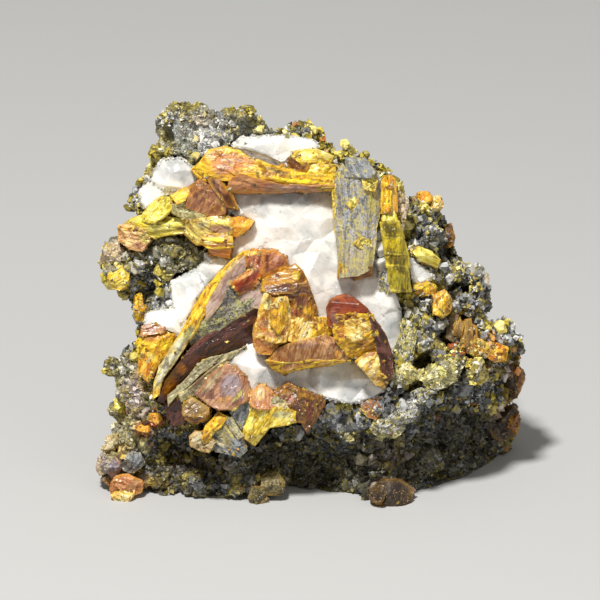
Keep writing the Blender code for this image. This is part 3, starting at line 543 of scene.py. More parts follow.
rock = new_object("rock_skin", merged_copy("rock_matrix"))
remesh = rock.modifiers.new("skin", "REMESH")
remesh.mode = "VOXEL"
remesh.voxel_size = ROCK_VOXEL
applied(rock)
points = coordinates(rock.data)
normals = vertex_normals(rock.data)
millimetres = points / MM
relief = np.full(len(points), -0.2)
for seed, breaks in enumerate(ROCK_BREAKS, 1):
    relief += broken_cells(millimetres, seed, *breaks)[0]
relief = np.where(points[:, 2] < FLAT_FOOT, 0, relief)
moved = points + normals * relief[:, None] * MM
outwards = np.array((0, -math.cos(FACE_LEAN), math.sin(FACE_LEAN)))
faces_out = np.clip(3 * (normals @ outwards), 0, 1)
moved -= outwards * (hollow_depth(to_face(points)) * faces_out)[:, None] * MM
crest = to_face(points)
crest = np.clip((crest[:, 1] - 56) / 6, 0, 1) * np.clip((-2 - crest[:, 0]) / 6, 0, 1)
moved[:, 2] = np.maximum(moved[:, 2] + CREST_RISE * crest, 0)
centre = (np.array(cad_low) + np.array(cad_high)) / 2
reach = (np.array(cad_high) - np.array(cad_low)) / 2
outer = np.maximum(np.abs(moved - centre) - reach + SIDE_MARGIN, 0)
outer[:, 2] = 0
moved -= np.sign(moved - centre) * outer * DRAWN_BACK
move_vertices(rock.data, moved)
store_colour(rock.data, "shares", ore_shares(moved))
store_colour(rock.data, "tint", *ore_tints_and_shade(moved))
rock.data.materials.append(ore_material())
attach(rock, "root")
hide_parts("rock_matrix")

# ---- Calcite ----
# White calcite that filled the vein before and between the orpiment. It parts along three slanting
# planes, so its surface is a stair of small flat cleavage faces, greyish where light gets through it, and
# greyed as painted shadow under the long blade.
CLEAVAGES = ((0.86, 0.42, 0.29), (-0.52, 0.80, 0.30), (0.05, -0.25, 0.97))
MOST_HALVINGS = 9


def refined(bm, size, shown_from):
    """Halves the edges that are longer than size until none is left.

    Edges that lie further in than shown_from, in millimetres out of the face, may be three times as long.
    """
    limit, way = on_face(0, 0, shown_from), face_way(0, 0, 1)

    def longest(edge):
        hidden = all((vert.co - limit).dot(way) < 0 for vert in edge.verts)
        return 3 * size if hidden else size

    bmesh.ops.triangulate(bm, faces=bm.faces[:])
    for _ in range(MOST_HALVINGS):
        long_edges = [e for e in bm.edges if e.calc_length() > longest(e)]
        if not long_edges:
            break
        bmesh.ops.subdivide_edges(bm, edges=long_edges, cuts=1, use_single_edge=True)
        bmesh.ops.triangulate(bm, faces=[f for f in bm.faces if len(f.verts) > 3], quad_method="SHORT_EDGE")


LATTICE = np.linalg.inv(np.array(CLEAVAGES).T)


def cleaved(points, period, seed):
    """A stair of rhombic blocks with flat tops: the height at each point, from -0.5 to 0.5."""
    sway = np.array([noise.noise_vector(Vector(p) * (0.3 / period) + Vector((seed, 3, 7))) for p in points])
    cells = np.floor(points @ LATTICE.T / period + 0.35 * sway).astype(int)
    mixed = cells @ np.array([73856, 19349, 83492]) + 977 * seed
    heights = np.random.default_rng(seed).random(4096) - 0.5
    return heights[mixed % 4096]


def let_light_in(shader, weight, colour, depth):
    """Lets a share of the light in, by colour, to a depth in metres, as in a clear mineral."""
    shader.inputs["Subsurface Weight"].default_value = weight
    shader.inputs["Subsurface Radius"].default_value = colour
    shader.inputs["Subsurface Scale"].default_value = depth
    shader.inputs["IOR"].default_value = 1.6


def calcite_material():
    made, tree, shader = new_material("cleaved_calcite")
    place = node(tree, "ShaderNodeTexCoord").outputs["Object"]
    cloud = node(tree, "ShaderNodeTexNoise", {"Vector": place, "Scale": 130.0, "Detail": 4.0, "Distortion": 0.6})
    fine = node(tree, "ShaderNodeTexNoise", {"Vector": place, "Scale": 1600.0, "Detail": 3.0})
    parts = node(tree, "ShaderNodeTexVoronoi", {"Vector": place, "Scale": 420.0}, feature="DISTANCE_TO_EDGE")
    millimetre = in_millimetres(tree, place)
    along = [vector_node(tree, "DOT_PRODUCT", millimetre, way).outputs["Value"] for way in CLEAVAGES]
    parting = node(tree, "ShaderNodeCombineXYZ", {0: along[0], 1: along[1], 2: along[2]}).outputs[0]
    patches = used(tree, cleaved_facets, {"Vector": parting, "Size": 1.6, "Tilt": 0.1, "Step": 0.03})
    body = ramp(tree, cloud.outputs["Fac"], [
        (0.28, (0.54, 0.56, 0.57)), (0.38, (0.73, 0.735, 0.725)), (0.50, (0.85, 0.84, 0.81)),
        (0.8, (0.88, 0.87, 0.83))])
    clear = node(tree, "ShaderNodeAttribute", attribute_name="clearness_and_shade").outputs["Fac"]
    glassy_and_shaded_grey = ramp(tree, cloud.outputs["Fac"], [(0.3, (0.24, 0.26, 0.285)), (0.62, (0.46, 0.48, 0.49))])
    body = blend_colour(tree, clear, body, glassy_and_shaded_grey)
    body = blend_colour(tree, 1.0, body, ramp(tree, patches["Tone"], [
        (0.0, (0.84, 0.86, 0.87)), (0.35, (1.0, 1.0, 1.0))]), "MULTIPLY")
    crack = ramp_value(tree, parts.outputs["Distance"], 0.0, 0.018)
    colour = blend_colour(tree, crack, blend_colour(tree, 0.3, body, (0.50, 0.52, 0.53)), body)
    rough = math_node(tree, "ADD", math_node(tree, "MULTIPLY", fine.outputs["Fac"], 0.3), 0.28)
    let_light_in(shader, 0.6, (1.0, 1.0, 1.0), 2.2 * MM)
    large = used(tree, cleaved_facets, {"Vector": parting, "Size": 3.4, "Tilt": 0.12, "Step": 0.05})
    small = used(tree, cleaved_facets, {"Vector": parting, "Size": 0.9, "Tilt": 0.08, "Step": 0.02})
    height = math_node(tree, "ADD", math_node(tree, "ADD", large["Height"], small["Height"]),
                       math_node(tree, "MULTIPLY", fine.outputs["Fac"], 0.02))
    finished(tree, shader, colour, rough, height, 1.0, 0.001)
    return made


cleaved_facets = facet_group("cleaved_facets", "CHEBYCHEV")
calcite_finish = calcite_material()
CALCITE_NODES = ("calcite_vein", "calcite_top", "calcite_upper_left", "calcite_right")
CLEAR_AND_SHADED_CALCITE = [
    # across, up, spread across, spread up, how clear: where light gets in and the white turns grey; the first
    # two rows, under the long blade, are its painted shadow
    (-3.5, 48.6, 6.5, 1.3, 0.9),
    (-8, 46.8, 2, 1.2, 0.5),
    (2, 38, 2.4, 2.6, 0.45),
    (-0.5, 43.6, 1.6, 2.2, 0.35),
    (5.6, 34.6, 2.6, 1.0, 0.5),
    (-20.6, 54, 3.6, 3.4, 0.75),
    (-17.8, 52.6, 2, 1.4, 0.5),
    (-15.5, 33.6, 2.6, 3.6, 0.65),
    (-6, 19.6, 4, 1.2, 0.6),
    (1.6, 19.4, 3.4, 1.6, 0.55),
    (8, 16.6, 4, 3.4, 0.8),
    (14, 27, 2.0, 2.0, 0.45),
]


def clearness_and_shade(points):
    """How clear the calcite is at each point, where the grey of the painted shadow under the long blade counts as
    clearness too.
    """
    place = to_face(points)
    cloudy = np.array([noise.noise(Vector(p) * 0.6) for p in place])
    clear = np.zeros(len(points))
    for across, up, wide, tall, strength in CLEAR_AND_SHADED_CALCITE:
        away = away_from(place, across, up, wide, tall)
        clear = np.maximum(clear, np.clip(1.5 * (1.2 - away + 0.6 * cloudy), 0, 1) * strength)
    return clear


def give_calcite(piece, clear):
    """The calcite finish on a piece, as clear at each point as given, painted shadow included."""
    layer = piece.data.attributes.new("clearness_and_shade", "FLOAT", "POINT")
    layer.data.foreach_set("value", clear.astype(np.float32))
    piece.data.materials.append(calcite_finish)


CALCITE_EDGE = 0.42  # the longest edge of the calcite's surface, in millimetres
CALCITE_HIDDEN = -3  # further in than this the calcite is never seen, in millimetres out of the face
STAIR_HEIGHT, STAIR_SIZE = 0.24, 6.0  # the height and width of its cleavage steps, in millimetres
WALL_RISE = 0.3  # how far its steep sides are moved out, in millimetres, to meet the crystals

calcites = []
for number, name in enumerate(CALCITE_NODES):
    bm = merged_copy(name)
    refined(bm, CALCITE_EDGE * MM, CALCITE_HIDDEN)
    bm.normal_update()
    places = np.array([vert.co for vert in bm.verts])
    rises = STAIR_HEIGHT * cleaved(places / MM, STAIR_SIZE, number) + 0.05
    facing = np.array([vert.normal.dot(FACE_OUT) for vert in bm.verts])
    rises = np.where(np.abs(facing) < 0.45, WALL_RISE, rises)
    rises[to_face(places)[:, 2] < -2] = 0
    for vert, rise in zip(bm.verts, rises):
        vert.co += vert.normal * rise * MM
    piece = new_object(name + "_cleavage", bm)
    give_calcite(piece, clearness_and_shade(places))
    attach(piece, "root")
    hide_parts(name)
    calcites.append(piece)

# ---- Long top blade ----
# Orpiment grows as long blades that part into thin sheets, so every blade here is a straight-sided plate cut
# by flat faces, with its sheets running along it. This one lies across the top of the calcite, golden on its
# upper side, with a pinkish hump at its left end and a salmon underside.
CLOSE_GAP = 0.24  # how far each outline is moved out, in millimetres, to meet its neighbours


def grown(outline, distance):
    """A flat outline moved outwards, with mitred corners."""
    points = [Vector(point) for point in outline]
    area = sum(p.cross(points[i - 1]) for i, p in enumerate(points))
    side = 1.0 if area < 0 else -1.0
    moved = []
    for i, point in enumerate(points):
        before = (point - points[i - 1]).normalized()
        after = (points[(i + 1) % len(points)] - point).normalized()
        first, second = (Vector((edge.y, -edge.x)) * side for edge in (before, after))
        middle = (first + second).normalized()
        moved.append(point + middle * (distance / max(0.5, middle.dot(first))))
    return moved


def roughened(outline, seed, reach=0.14, length=1.3):
    """An outline whose sides are broken into short uneven steps."""
    dice = np.random.default_rng(seed)
    rough = []
    for i, corner in enumerate(outline):
        start, end = Vector(outline[i - 1]), Vector(corner)
        side = Vector((end.y - start.y, start.x - end.x)).normalized()
        count = max(1, int((end - start).length / length))
        for step in range(count):
            share = (step + (step > 0) * dice.uniform(-0.25, 0.25)) / count
            rough.append(tuple(start.lerp(end, share) + side * dice.uniform(-reach, reach)))
    return rough


def rim_closeness(points, outline, reach):
    """1 on the outline and 0 further from it than reach, for points across and up the face."""
    nearest = np.full(len(points), 1e9)
    for i, corner in enumerate(outline):
        start, end = np.array(outline[i - 1]), np.array(corner)
        side = end - start
        share = np.clip((points - start) @ side / max(1e-9, side @ side), 0, 1)
        nearest = np.minimum(nearest, np.linalg.norm(points - start - share[:, None] * side, axis=1))
    return np.clip(1 - nearest / reach, 0, 1)


STEP_SCALE = 0.45  # how strongly the sheets of every blade stand out
SIDE_LEDGES = 0.15  # how far the ends of the sheets jut from the sides of a blade, in millimetres
BEDDED = 6.0  # how far a blade reaches down under its lowest facet, in millimetres
SHOWN_WALL = 3.2  # how much of that may show and is finely modelled
COLUMN_HEIGHT = 30  # the height of the column that a blade is cut from, in millimetres
SHARP_EDGE = 0.35  # edges that turn by more than this, in radians, are worn to a narrow flat
LUMP_DEPTH = 1.9  # half the thickness of a lump, in millimetres


def cut_off(bm, place, way):
    """Cuts off what lies beyond a plane, and closes the cut with a flat face."""
    cut = bmesh.ops.bisect_plane(
        bm, geom=bm.verts[:] + bm.edges[:] + bm.faces[:], plane_co=place, plane_no=way, clear_outer=True)
    bmesh.ops.contextual_create(bm, geom=[item for item in cut["geom_cut"] if isinstance(item, bmesh.types.BMEdge)])


def cut_round(bm, outline, top, seed):
    """Cuts a column down to a lump by flat breaks that touch an egg shape within it."""
    dice = np.random.default_rng(seed + 2)
    points = np.array([tuple(point) for point in outline])
    middle = np.append((points.max(axis=0) + points.min(axis=0)) / 2, top - 0.75 * LUMP_DEPTH)
    reach = np.append((points.max(axis=0) - points.min(axis=0)) * 0.56, LUMP_DEPTH)
    ways = [(0.2, -0.1, -1.0), (-0.4, 0.3, -0.8), (0.5, 0.4, -0.7), (0.1, -0.6, -0.7)]
    ways += [(math.cos(turn), math.sin(turn), dice.uniform(-0.5, 0.75)) for turn in dice.uniform(0, 2 * math.pi, 14)]
    for way in ways:
        way = np.array(way) / np.linalg.norm(way)
        spot = middle + reach**2 * way / np.linalg.norm(reach * way) * dice.uniform(0.92, 1.04)
        cut_off(bm, on_face(*spot), face_way(*way))


def plate(outline, floor, facets, run=0.0, layers=0.16, flakes=(3.0, 1.1), rim=0.6, size=0.34, edge=0.12, flush=(),
          paint=(), rounded=False):
    """One blade: a column on the outline cut by facets, each (across, up, out, slope across, slope up).

    Its sheets run at the angle run on the display face. They break up into flakes of the given length and
    width, whose steps are up to layers high. Its rim is painted in the rim colour over the width rim, as light
    let through it, and it is flushed with another colour round each flush spot (across, up, spread across,
    spread up). Its clear and coloured zones, a few of them painted highlights, are the paint spots (across,
    up, spread along, spread across, turn, colour). A rounded one is a lump: it is cut off below and at its
    corners too.
    """
    floor = max(floor, min(facet[2] for facet in facets) - BEDDED)
    layers = layers * STEP_SCALE
    bm = bmesh.new()
    seed = int(abs(outline[0][0] * 131 + outline[0][1] * 17 + floor * 7)) + 5
    wide = grown(roughened(outline, seed), CLOSE_GAP)
    base = bm.faces.new([bm.verts.new(on_face(x, y, floor)) for x, y in wide])
    raised = bmesh.ops.extrude_face_region(bm, geom=[base])["geom"]
    tops = [item for item in raised if isinstance(item, bmesh.types.BMVert)]
    bmesh.ops.translate(bm, verts=tops, vec=face_way(0, 0, COLUMN_HEIGHT))
    for across, up, out, slope_across, slope_up in facets:
        cut_off(bm, on_face(across, up, out), face_way(-slope_across, -slope_up, 1).normalized())
    if rounded:
        cut_round(bm, outline, facets[0][2], seed)
    bmesh.ops.recalc_face_normals(bm, faces=bm.faces[:])
    low = on_face(0, 0, floor + 0.5)
    sharp = [e for e in bm.edges if len(e.link_faces) == 2 and e.calc_face_angle(0) > SHARP_EDGE
             and all((vert.co - low).dot(FACE_OUT) > 0 for vert in e.verts)]
    bmesh.ops.bevel(
        bm, geom=sharp, offset=edge * MM, segments=1, affect="EDGES", profile=0.5, material=-1, clamp_overlap=True)
    refined(bm, size * MM, min(facet[2] for facet in facets) - SHOWN_WALL)
    bm.normal_update()
    bm.verts.ensure_lookup_table()
    places = to_face(np.array([vert.co for vert in bm.verts]))
    u, v = turned_by(places[:, 0], places[:, 1], run)
    w = places[:, 2]
    length, width = flakes
    spots = np.column_stack((u / length, v / width, w / width))
    large, tone = broken_cells(spots, seed, 1.0, layers, layers)
    small, shade = broken_cells(spots * 2.6, seed + 1, 1.0, 0.4 * layers, 0.4 * layers)
    waves = np.array([noise.noise(Vector((a * 0.3, b * 0.5, c * 0.4))) for a, b, c in zip(u, v, w)])
    rises = large + small + 0.7 * layers * waves - 0.2 * layers
    closeness = rim_closeness(places[:, :2], wide, rim)
    tone = np.clip(0.6 * tone + 0.4 * shade + 0.2 * waves, 0, 1)
    flushed = np.zeros(len(u))
    for spot in flush:
        flushed = np.maximum(flushed, np.clip(1.6 * (1.15 - away_from(places, *spot)) + 0.5 * waves, 0, 1))
    painted = np.zeros((len(u), 4))
    for across, up, long, wide, turned, colour in paint:
        along, over = turned_by(places[:, 0] - across, places[:, 1] - up, turned)
        away = np.hypot(along / long, over / wide)
        weight = np.clip(2.2 * (1.1 - away) + 0.5 * waves + 0.4 * (shade - 0.5), 0, 1)
        painted *= (1 - weight)[:, None]
        painted += np.outer(weight, (*colour, 1))
    painted[:, :3] /= np.maximum(painted[:, 3:], 1e-6)
    facing = np.array([vert.normal.dot(FACE_OUT) for vert in bm.verts])
    rises *= np.clip((facing - 0.1) / 0.5, 0.12, 1)
    wall = np.clip((0.6 - np.abs(facing)) / 0.4, 0, 1)
    ledge = np.modf(np.sin(np.floor(w / 0.6 + 0.7 * waves) * 12.99 + seed) * 437.6)[0]
    rises += wall * SIDE_LEDGES * ledge
    sheets = bm.loops.layers.uv.new("sheets")
    mask = bm.verts.layers.float_color.new("flakes")
    layer = bm.verts.layers.float_color.new("paint")
    for face in bm.faces:
        on_wall = abs(face.normal.dot(FACE_OUT)) < 0.45
        for corner in face.loops:
            i = corner.vert.index
            corner[sheets].uv = (u[i] + v[i], 31 + 1.4 * w[i]) if on_wall else (u[i], v[i] + 0.6 * w[i])
    for i, vert in enumerate(bm.verts):
        vert[mask] = (tone[i], closeness[i], flushed[i], 1)
        vert[layer] = painted[i]
        vert.co += vert.normal * rises[i] * MM
        vert.co.z = max(vert.co.z, 0)
    return bm


# The thin rim of a blade, painted in a lighter rim colour as painted light let through it.
thin_rim, entry, result = new_group(
    "thin_rim",
    {"Colour": (1.0, 1.0, 1.0), "Rim Colour": (1.0, 1.0, 1.0), "Closeness": 0.0, "Patchiness": 0.5, "Amount": 0.5},
    {"Colour": "Color"})
painted_rim_light = math_node(thin_rim, "MULTIPLY", entry["Closeness"], ramp_value(thin_rim, entry["Patchiness"], 0.3, 0.7))
painted_rim_light = math_node(thin_rim, "MULTIPLY", painted_rim_light, math_node(thin_rim, "MULTIPLY", entry["Amount"], 1.6), clamp=True)
thin_rim.links.new(blend_colour(thin_rim, painted_rim_light, entry["Colour"], entry["Rim Colour"]), result["Colour"])

# Dusty yellow crumbs that settle in patches.
settled_dust, entry, result = new_group(
    "settled_dust",
    {"Vector": None, "Colour": (1.0, 1.0, 1.0), "Dust Colour": (1.0, 1.0, 1.0), "Amount": 0.0},
    {"Colour": "Color", "Mask": "Float"})
patches = node(settled_dust, "ShaderNodeTexNoise", {
    "Vector": entry["Vector"], "Scale": 1300.0, "Detail": 5.0, "Roughness": 0.75})
least = math_node(settled_dust, "SUBTRACT", 0.60, math_node(settled_dust, "MULTIPLY", entry["Amount"], 0.2))
dusted = math_node(settled_dust, "SUBTRACT", patches.outputs["Fac"], least)
dusted = math_node(settled_dust, "MULTIPLY", dusted, 16.0, clamp=True)
dusted = math_node(settled_dust, "MULTIPLY", dusted, math_node(settled_dust, "GREATER_THAN", entry["Amount"], 0.01))
settled_dust.links.new(blend_colour(settled_dust, dusted, entry["Colour"], entry["Dust Colour"]), result["Colour"])
settled_dust.links.new(dusted, result["Mask"])


def orpiment(name, deep, body, light, rim=(0.78, 0.42, 0.012), streaks=0.35, edging=0.35, dust=0.0, gloss=0.16,
             glow=0.15, dust_colour=(0.62, 0.44, 0.04), streak_size=2.6, relief=0.5, flush=(0.40, 0.16, 0.04),
             speckle=0.0, grain=1500.0):
    """Orpiment whose flakes go from deep through body to light colour, with streaks along its sheets.

    Its thin rims are painted in the rim colour as painted light let through them, a few flakes are painted
    with the light colour as glints, and dust settles on it in patches.
    """
    made, tree, shader = new_material(name)
    texture = node(tree, "ShaderNodeTexCoord")
    place, sheets = texture.outputs["Object"], texture.outputs["UV"]
    flakes = node(tree, "ShaderNodeSeparateColor", {
        "Color": node(tree, "ShaderNodeAttribute", attribute_name="flakes").outputs["Color"]})
    paint = node(tree, "ShaderNodeAttribute", attribute_name="paint")
    drawn_out = node(tree, "ShaderNodeMapping", {"Vector": sheets, "Scale": (0.16, streak_size, 1.0)}).outputs[0]
    long_way = node(tree, "ShaderNodeMapping", {"Vector": sheets, "Scale": (0.42, 1.0, 1.0)}).outputs[0]
    large = used(tree, broken_facets, {"Vector": long_way, "Size": 0.8, "Tilt": 0.26, "Step": 0.06})
    small = used(tree, broken_facets, {"Vector": long_way, "Size": 0.3, "Tilt": 0.25, "Step": 0.025})
    splits = node(tree, "ShaderNodeTexVoronoi", {
        "Vector": node(tree, "ShaderNodeMapping", {"Vector": sheets, "Scale": (0.16, 1.0, 1.0)}).outputs[0],
        "Scale": 0.8}, feature="DISTANCE_TO_EDGE")
    blotch = node(tree, "ShaderNodeTexNoise", {"Vector": place, "Scale": 340.0, "Detail": 5.0, "Distortion": 0.8})
    streak = node(tree, "ShaderNodeTexNoise", {"Vector": drawn_out, "Scale": 1.0, "Detail": 5.0, "Roughness": 0.7})
    cells = node(tree, "ShaderNodeTexVoronoi", {"Vector": place, "Scale": grain})
    pick = node(tree, "ShaderNodeSeparateColor", {"Color": cells.outputs["Color"]})
    grit = used(tree, fine_grit, {"Vector": place, "Scale": 3200.0, "Roughness": gloss, "Spread": 0.34})
    lines = ramp_value(tree, streak.outputs["Fac"], 0.34, 0.66)
    clouds = ramp_value(tree, blotch.outputs["Fac"], 0.32, 0.68)
    facets = math_node(tree, "ADD", math_node(tree, "MULTIPLY", large["Tone"], 0.24),
                       math_node(tree, "MULTIPLY", small["Tone"], 0.24))
    striping = 0.34 * min(streaks, 1.1)
    steps = math_node(tree, "ADD", facets, math_node(tree, "MULTIPLY", flakes.outputs[0], 0.14))
    stripes = math_node(tree, "MULTIPLY", lines, striping)
    mottling = math_node(tree, "MULTIPLY", clouds, 0.38 - striping)
    mixed = math_node(tree, "ADD", steps, math_node(tree, "ADD", stripes, mottling))
    grainy = math_node(tree, "MULTIPLY", pick.outputs[1], speckle)
    mixed = math_node(tree, "ADD", math_node(tree, "MULTIPLY", mixed, 1.0 - speckle), grainy)
    colour = ramp(tree, mixed, [(0.31, deep), (0.50, body), (0.70, light)])
    flushed = ramp(tree, mixed, [(0.15, tuple(0.45 * c for c in flush)), (0.5, flush),
                                 (0.9, tuple(min(1.0, 1.5 * c) for c in flush))])
    colour = blend_colour(tree, flakes.outputs[2], colour, flushed)
    tones = ramp(tree, mixed, [(0.3, (0.38, 0.34, 0.32)), (0.5, (1.0, 1.0, 1.0)), (0.72, (1.45, 1.5, 1.6))])
    zone = blend_colour(tree, 1.0, paint.outputs["Color"], tones, "MULTIPLY")
    colour = blend_colour(tree, paint.outputs["Alpha"], colour, zone)
    # painted glints: a few small facets take the light colour
    colour = blend_colour(tree, math_node(tree, "MULTIPLY", small["Glint"], 0.4), colour, light)
    split = ramp_value(tree, splits.outputs["Distance"], 0.0, 0.035)
    colour = blend_colour(tree, split, blend_colour(tree, 0.5, colour, tuple(0.5 * c for c in deep)), colour)
    colour = used(tree, thin_rim, {"Colour": colour, "Rim Colour": (*rim, 1), "Closeness": flakes.outputs[1],
                                   "Patchiness": blotch.outputs["Fac"], "Amount": edging})["Colour"]
    dusted = used(tree, settled_dust, {
        "Vector": place, "Colour": colour, "Dust Colour": (*dust_colour, 1), "Amount": dust})
    rough = math_node(tree, "ADD", grit["Roughness"], math_node(tree, "MULTIPLY", dusted["Mask"], 0.35), clamp=True)
    let_light_in(shader, glow, (1.0, 0.45, 0.1), 0.8 * MM)
    fibres = math_node(tree, "MULTIPLY", streak.outputs["Fac"], 0.10 * streaks)
    seams = math_node(tree, "MULTIPLY", split, 0.03)
    bumps = math_node(tree, "MULTIPLY", pick.outputs[2], 0.06 * speckle)
    height = math_node(tree, "ADD", math_node(tree, "ADD", large["Height"], small["Height"]),
                       math_node(tree, "ADD", fibres, math_node(tree, "ADD", seams, bumps)))
    finished(tree, shader, dusted["Colour"], rough, height, relief, 0.001)
    return made


CREASE = math.radians(12)  # steeper turns than this between facets stay sharp
BED_DEPTH = 0.8  # how much lower the small lumps without a solid of their own lie in the ore, in millimetres


def bedded(shape):
    """A small lump's shape, broken up and let down into the ore."""
    dice = np.random.default_rng(int(abs(shape["outline"][0][0]) * 97) + 3)
    middle = np.mean(shape["outline"], axis=0)
    facets = [(x, y, out - BED_DEPTH, a, b) for x, y, out, a, b in shape["facets"]]
    top = facets[0][2]
    for _ in range(3):
        x, y = middle + dice.uniform(-0.6, 0.6, 2)
        facets.append((x, y, top + 0.25, *dice.uniform(-0.8, 0.8, 2)))
    outline = roughened(shape["outline"], 7, 0.3, 0.8)
    return dict(shape, outline=outline, facets=facets, floor=shape["floor"] - BED_DEPTH, rounded=True)


def sheet(finish, outline, facets, **settings):
    """One plate of a crystal: its finish, its outline, the flat faces that cut it, and its other settings."""
    return finish, dict(settings, outline=outline, facets=facets)


def crystal(name, node_name, plates):
    """One grown-together crystal: its plates, each with its own finish, as one piece.

    It stands for the solid node_name. Small plates that are bedded in the ore stand for none.
    """
    whole = bmesh.new()
    finishes = []
    for finish, shape in plates:
        if finish not in finishes:
            finishes.append(finish)
        part = plate(**(shape if node_name else bedded(shape)))
        for face in part.faces:
            face.material_index = finishes.index(finish)
        hold = bpy.data.meshes.new("plate")
        part.to_mesh(hold)
        part.free()
        whole.from_mesh(hold)
        bpy.data.meshes.remove(hold)
    piece = new_object(name, whole)
    for finish in finishes:
        piece.data.materials.append(finish)
    piece.data.shade_smooth()
    piece.data.set_sharp_from_angle(angle=CREASE)
    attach(piece, "root")
    if node_name:
        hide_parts(node_name)
        crystals.append(piece)


crystals = []
gold = orpiment("gold_orpiment", (0.24, 0.1, 0.003), (0.66, 0.34, 0.005), (0.95, 0.68, 0.04), rim=(0.86, 0.56, 0.03),
    gloss=0.24, flush=(0.54, 0.22, 0.06))
rose_amber = orpiment("rose_amber", (0.34, 0.095, 0.008), (0.56, 0.21, 0.04), (0.76, 0.42, 0.14), streaks=0.3)
salmon = orpiment("salmon_orpiment", (0.3, 0.09, 0.03), (0.52, 0.21, 0.07), (0.68, 0.38, 0.17), streaks=0.8,
    rim=(0.66, 0.3, 0.02), edging=0.6, flush=(0.3, 0.19, 0.15))
umber = orpiment("umber_orpiment", (0.05, 0.03, 0.012), (0.13, 0.085, 0.035), (0.22, 0.15, 0.07), streaks=0.6,
    rim=(0.24, 0.16, 0.03), edging=0.4, gloss=0.34, relief=0.3)
crystal("long_top_blade_sheets", "long_top_blade", [
    sheet(gold, [(-18.9, 53.4), (-17.6, 54.6), (-16.2, 56.3), (-13.8, 56.8), (-11.6, 56.5), (-9.8, 55.4),
        (-6.5, 54.1), (-3, 53.3), (0, 52.6), (4, 52.6), (4, 50.4), (-2.4, 50.6), (-5.1, 50.7), (-9, 51.3),
        (-14, 51.8), (-16.8, 51.6), (-17.9, 52.4)],
        [(-8, 52.4, 8.5, 0.03, -0.35), (-8, 52, 8.4, 0.02, 0.8), (-17, 54, 7.2, 0.6, -0.1),
        (-13.5, 54.4, 8.2, 0.05, 0.05), (-12, 55.5, 7.9, -0.2, -0.5)], floor=-2, run=-4, layers=0.22,
        flush=[(-13.6, 54.2, 3.2, 2.0)], paint=[(-12.6, 54.4, 3.6, 1.3, 6, (0.52, 0.21, 0.055)),
        # painted highlight: the pale streak at (-13.2, 55.0) on this line
        (-14.2, 55.6, 1.8, 0.45, -8, (0.46, 0.17, 0.02)), (-13.2, 55.0, 1.2, 0.2, -4, (0.8, 0.5, 0.26)),
        (-17.4, 53.0, 1.2, 0.7, -40, (0.88, 0.62, 0.02)), (-12.4, 52.4, 2.0, 0.5, 20, (0.8, 0.44, 0.02)),
        (-5.6, 53.3, 2.4, 0.3, -16, (0.3, 0.19, 0.005)), (-8.4, 52.6, 0.3, 1.0, 10, (0.22, 0.14, 0.004)),
        (-3.4, 52.0, 0.9, 0.3, 70, (0.26, 0.17, 0.004)), (-1.0, 51.5, 4.6, 0.35, -3, (0.96, 0.72, 0.02)),
        (0.5, 52.4, 3.0, 0.22, 0, (0.34, 0.22, 0.004))]),
    sheet(salmon, [(-13.3, 50), (-7.1, 49.9), (-3.6, 50.1), (3.9, 50.2), (3.9, 50.6), (-1.6, 50.8), (-5.1, 51),
        (-8.8, 51.8), (-11.2, 52.6), (-12.8, 51.6)],
        [(-8, 51.4, 8.3, 0.0, 0.55), (-8, 50.6, 7.9, 0.0, 1.2)], floor=0, run=-3, layers=0.12,
        flush=[(-3, 50.4, 5, 1.2)], paint=[(-10.6, 51.2, 2.6, 0.8, 5, (0.64, 0.3, 0.12)),
        (2.4, 50.4, 1.8, 0.5, 0, (0.5, 0.36, 0.02))]),
    sheet(umber, [(-13.1, 56.9), (-10.2, 56.5), (-7.1, 55.5), (-5.2, 54.5), (-3.6, 53.4), (-5.9, 53.6), (-8.3, 54.5),
        (-10, 55.6), (-11.9, 56.4)],
        [(-8, 55, 6.4, 0.0, -0.3)], floor=0, run=-18, layers=0.12),
])

# ---- Top yellow cluster ----
# Small bright yellow crystals with a brown face and bits of calcite, behind the right end of the long blade.
bright = orpiment("bright_yellow", (0.4, 0.24, 0.005), (0.8, 0.58, 0.03), (0.96, 0.88, 0.34), gloss=0.24, streaks=0.5,
    rim=(0.86, 0.6, 0.06))
chestnut = orpiment("chestnut_orpiment", (0.06, 0.018, 0.008), (0.17, 0.06, 0.025), (0.34, 0.14, 0.05), streaks=0.7,
    edging=0.5)
crystal("top_yellow_crystals", "top_yellow_cluster", [
    sheet(bright, [(-2.6, 55.4), (-1.8, 56.2), (1, 56.6), (3.6, 55.4), (3.2, 54.4), (0.4, 54.9), (-1.2, 54.6)],
        [(0, 55.4, 5.9, 0.05, -0.5), (0.6, 55, 5.8, -0.3, 0.5)], floor=-3, run=-10, layers=0.3),
    sheet(bright, [(-0.6, 53.2), (-0.4, 54.6), (1.4, 54.8), (3.9, 54), (3.9, 52.8), (1.6, 52.8)],
        [(1.5, 53.8, 5.8, 0.25, -0.35), (2.4, 53.4, 5.9, -0.5, 0.3)], floor=-3, run=12, layers=0.3),
    sheet(chestnut, [(-3.3, 53.4), (-3.2, 55.1), (-2, 55.3), (-0.4, 54.2), (-0.8, 53)],
        [(-2, 54.2, 5.6, 0.3, 0.2)], floor=-3, run=60),
])

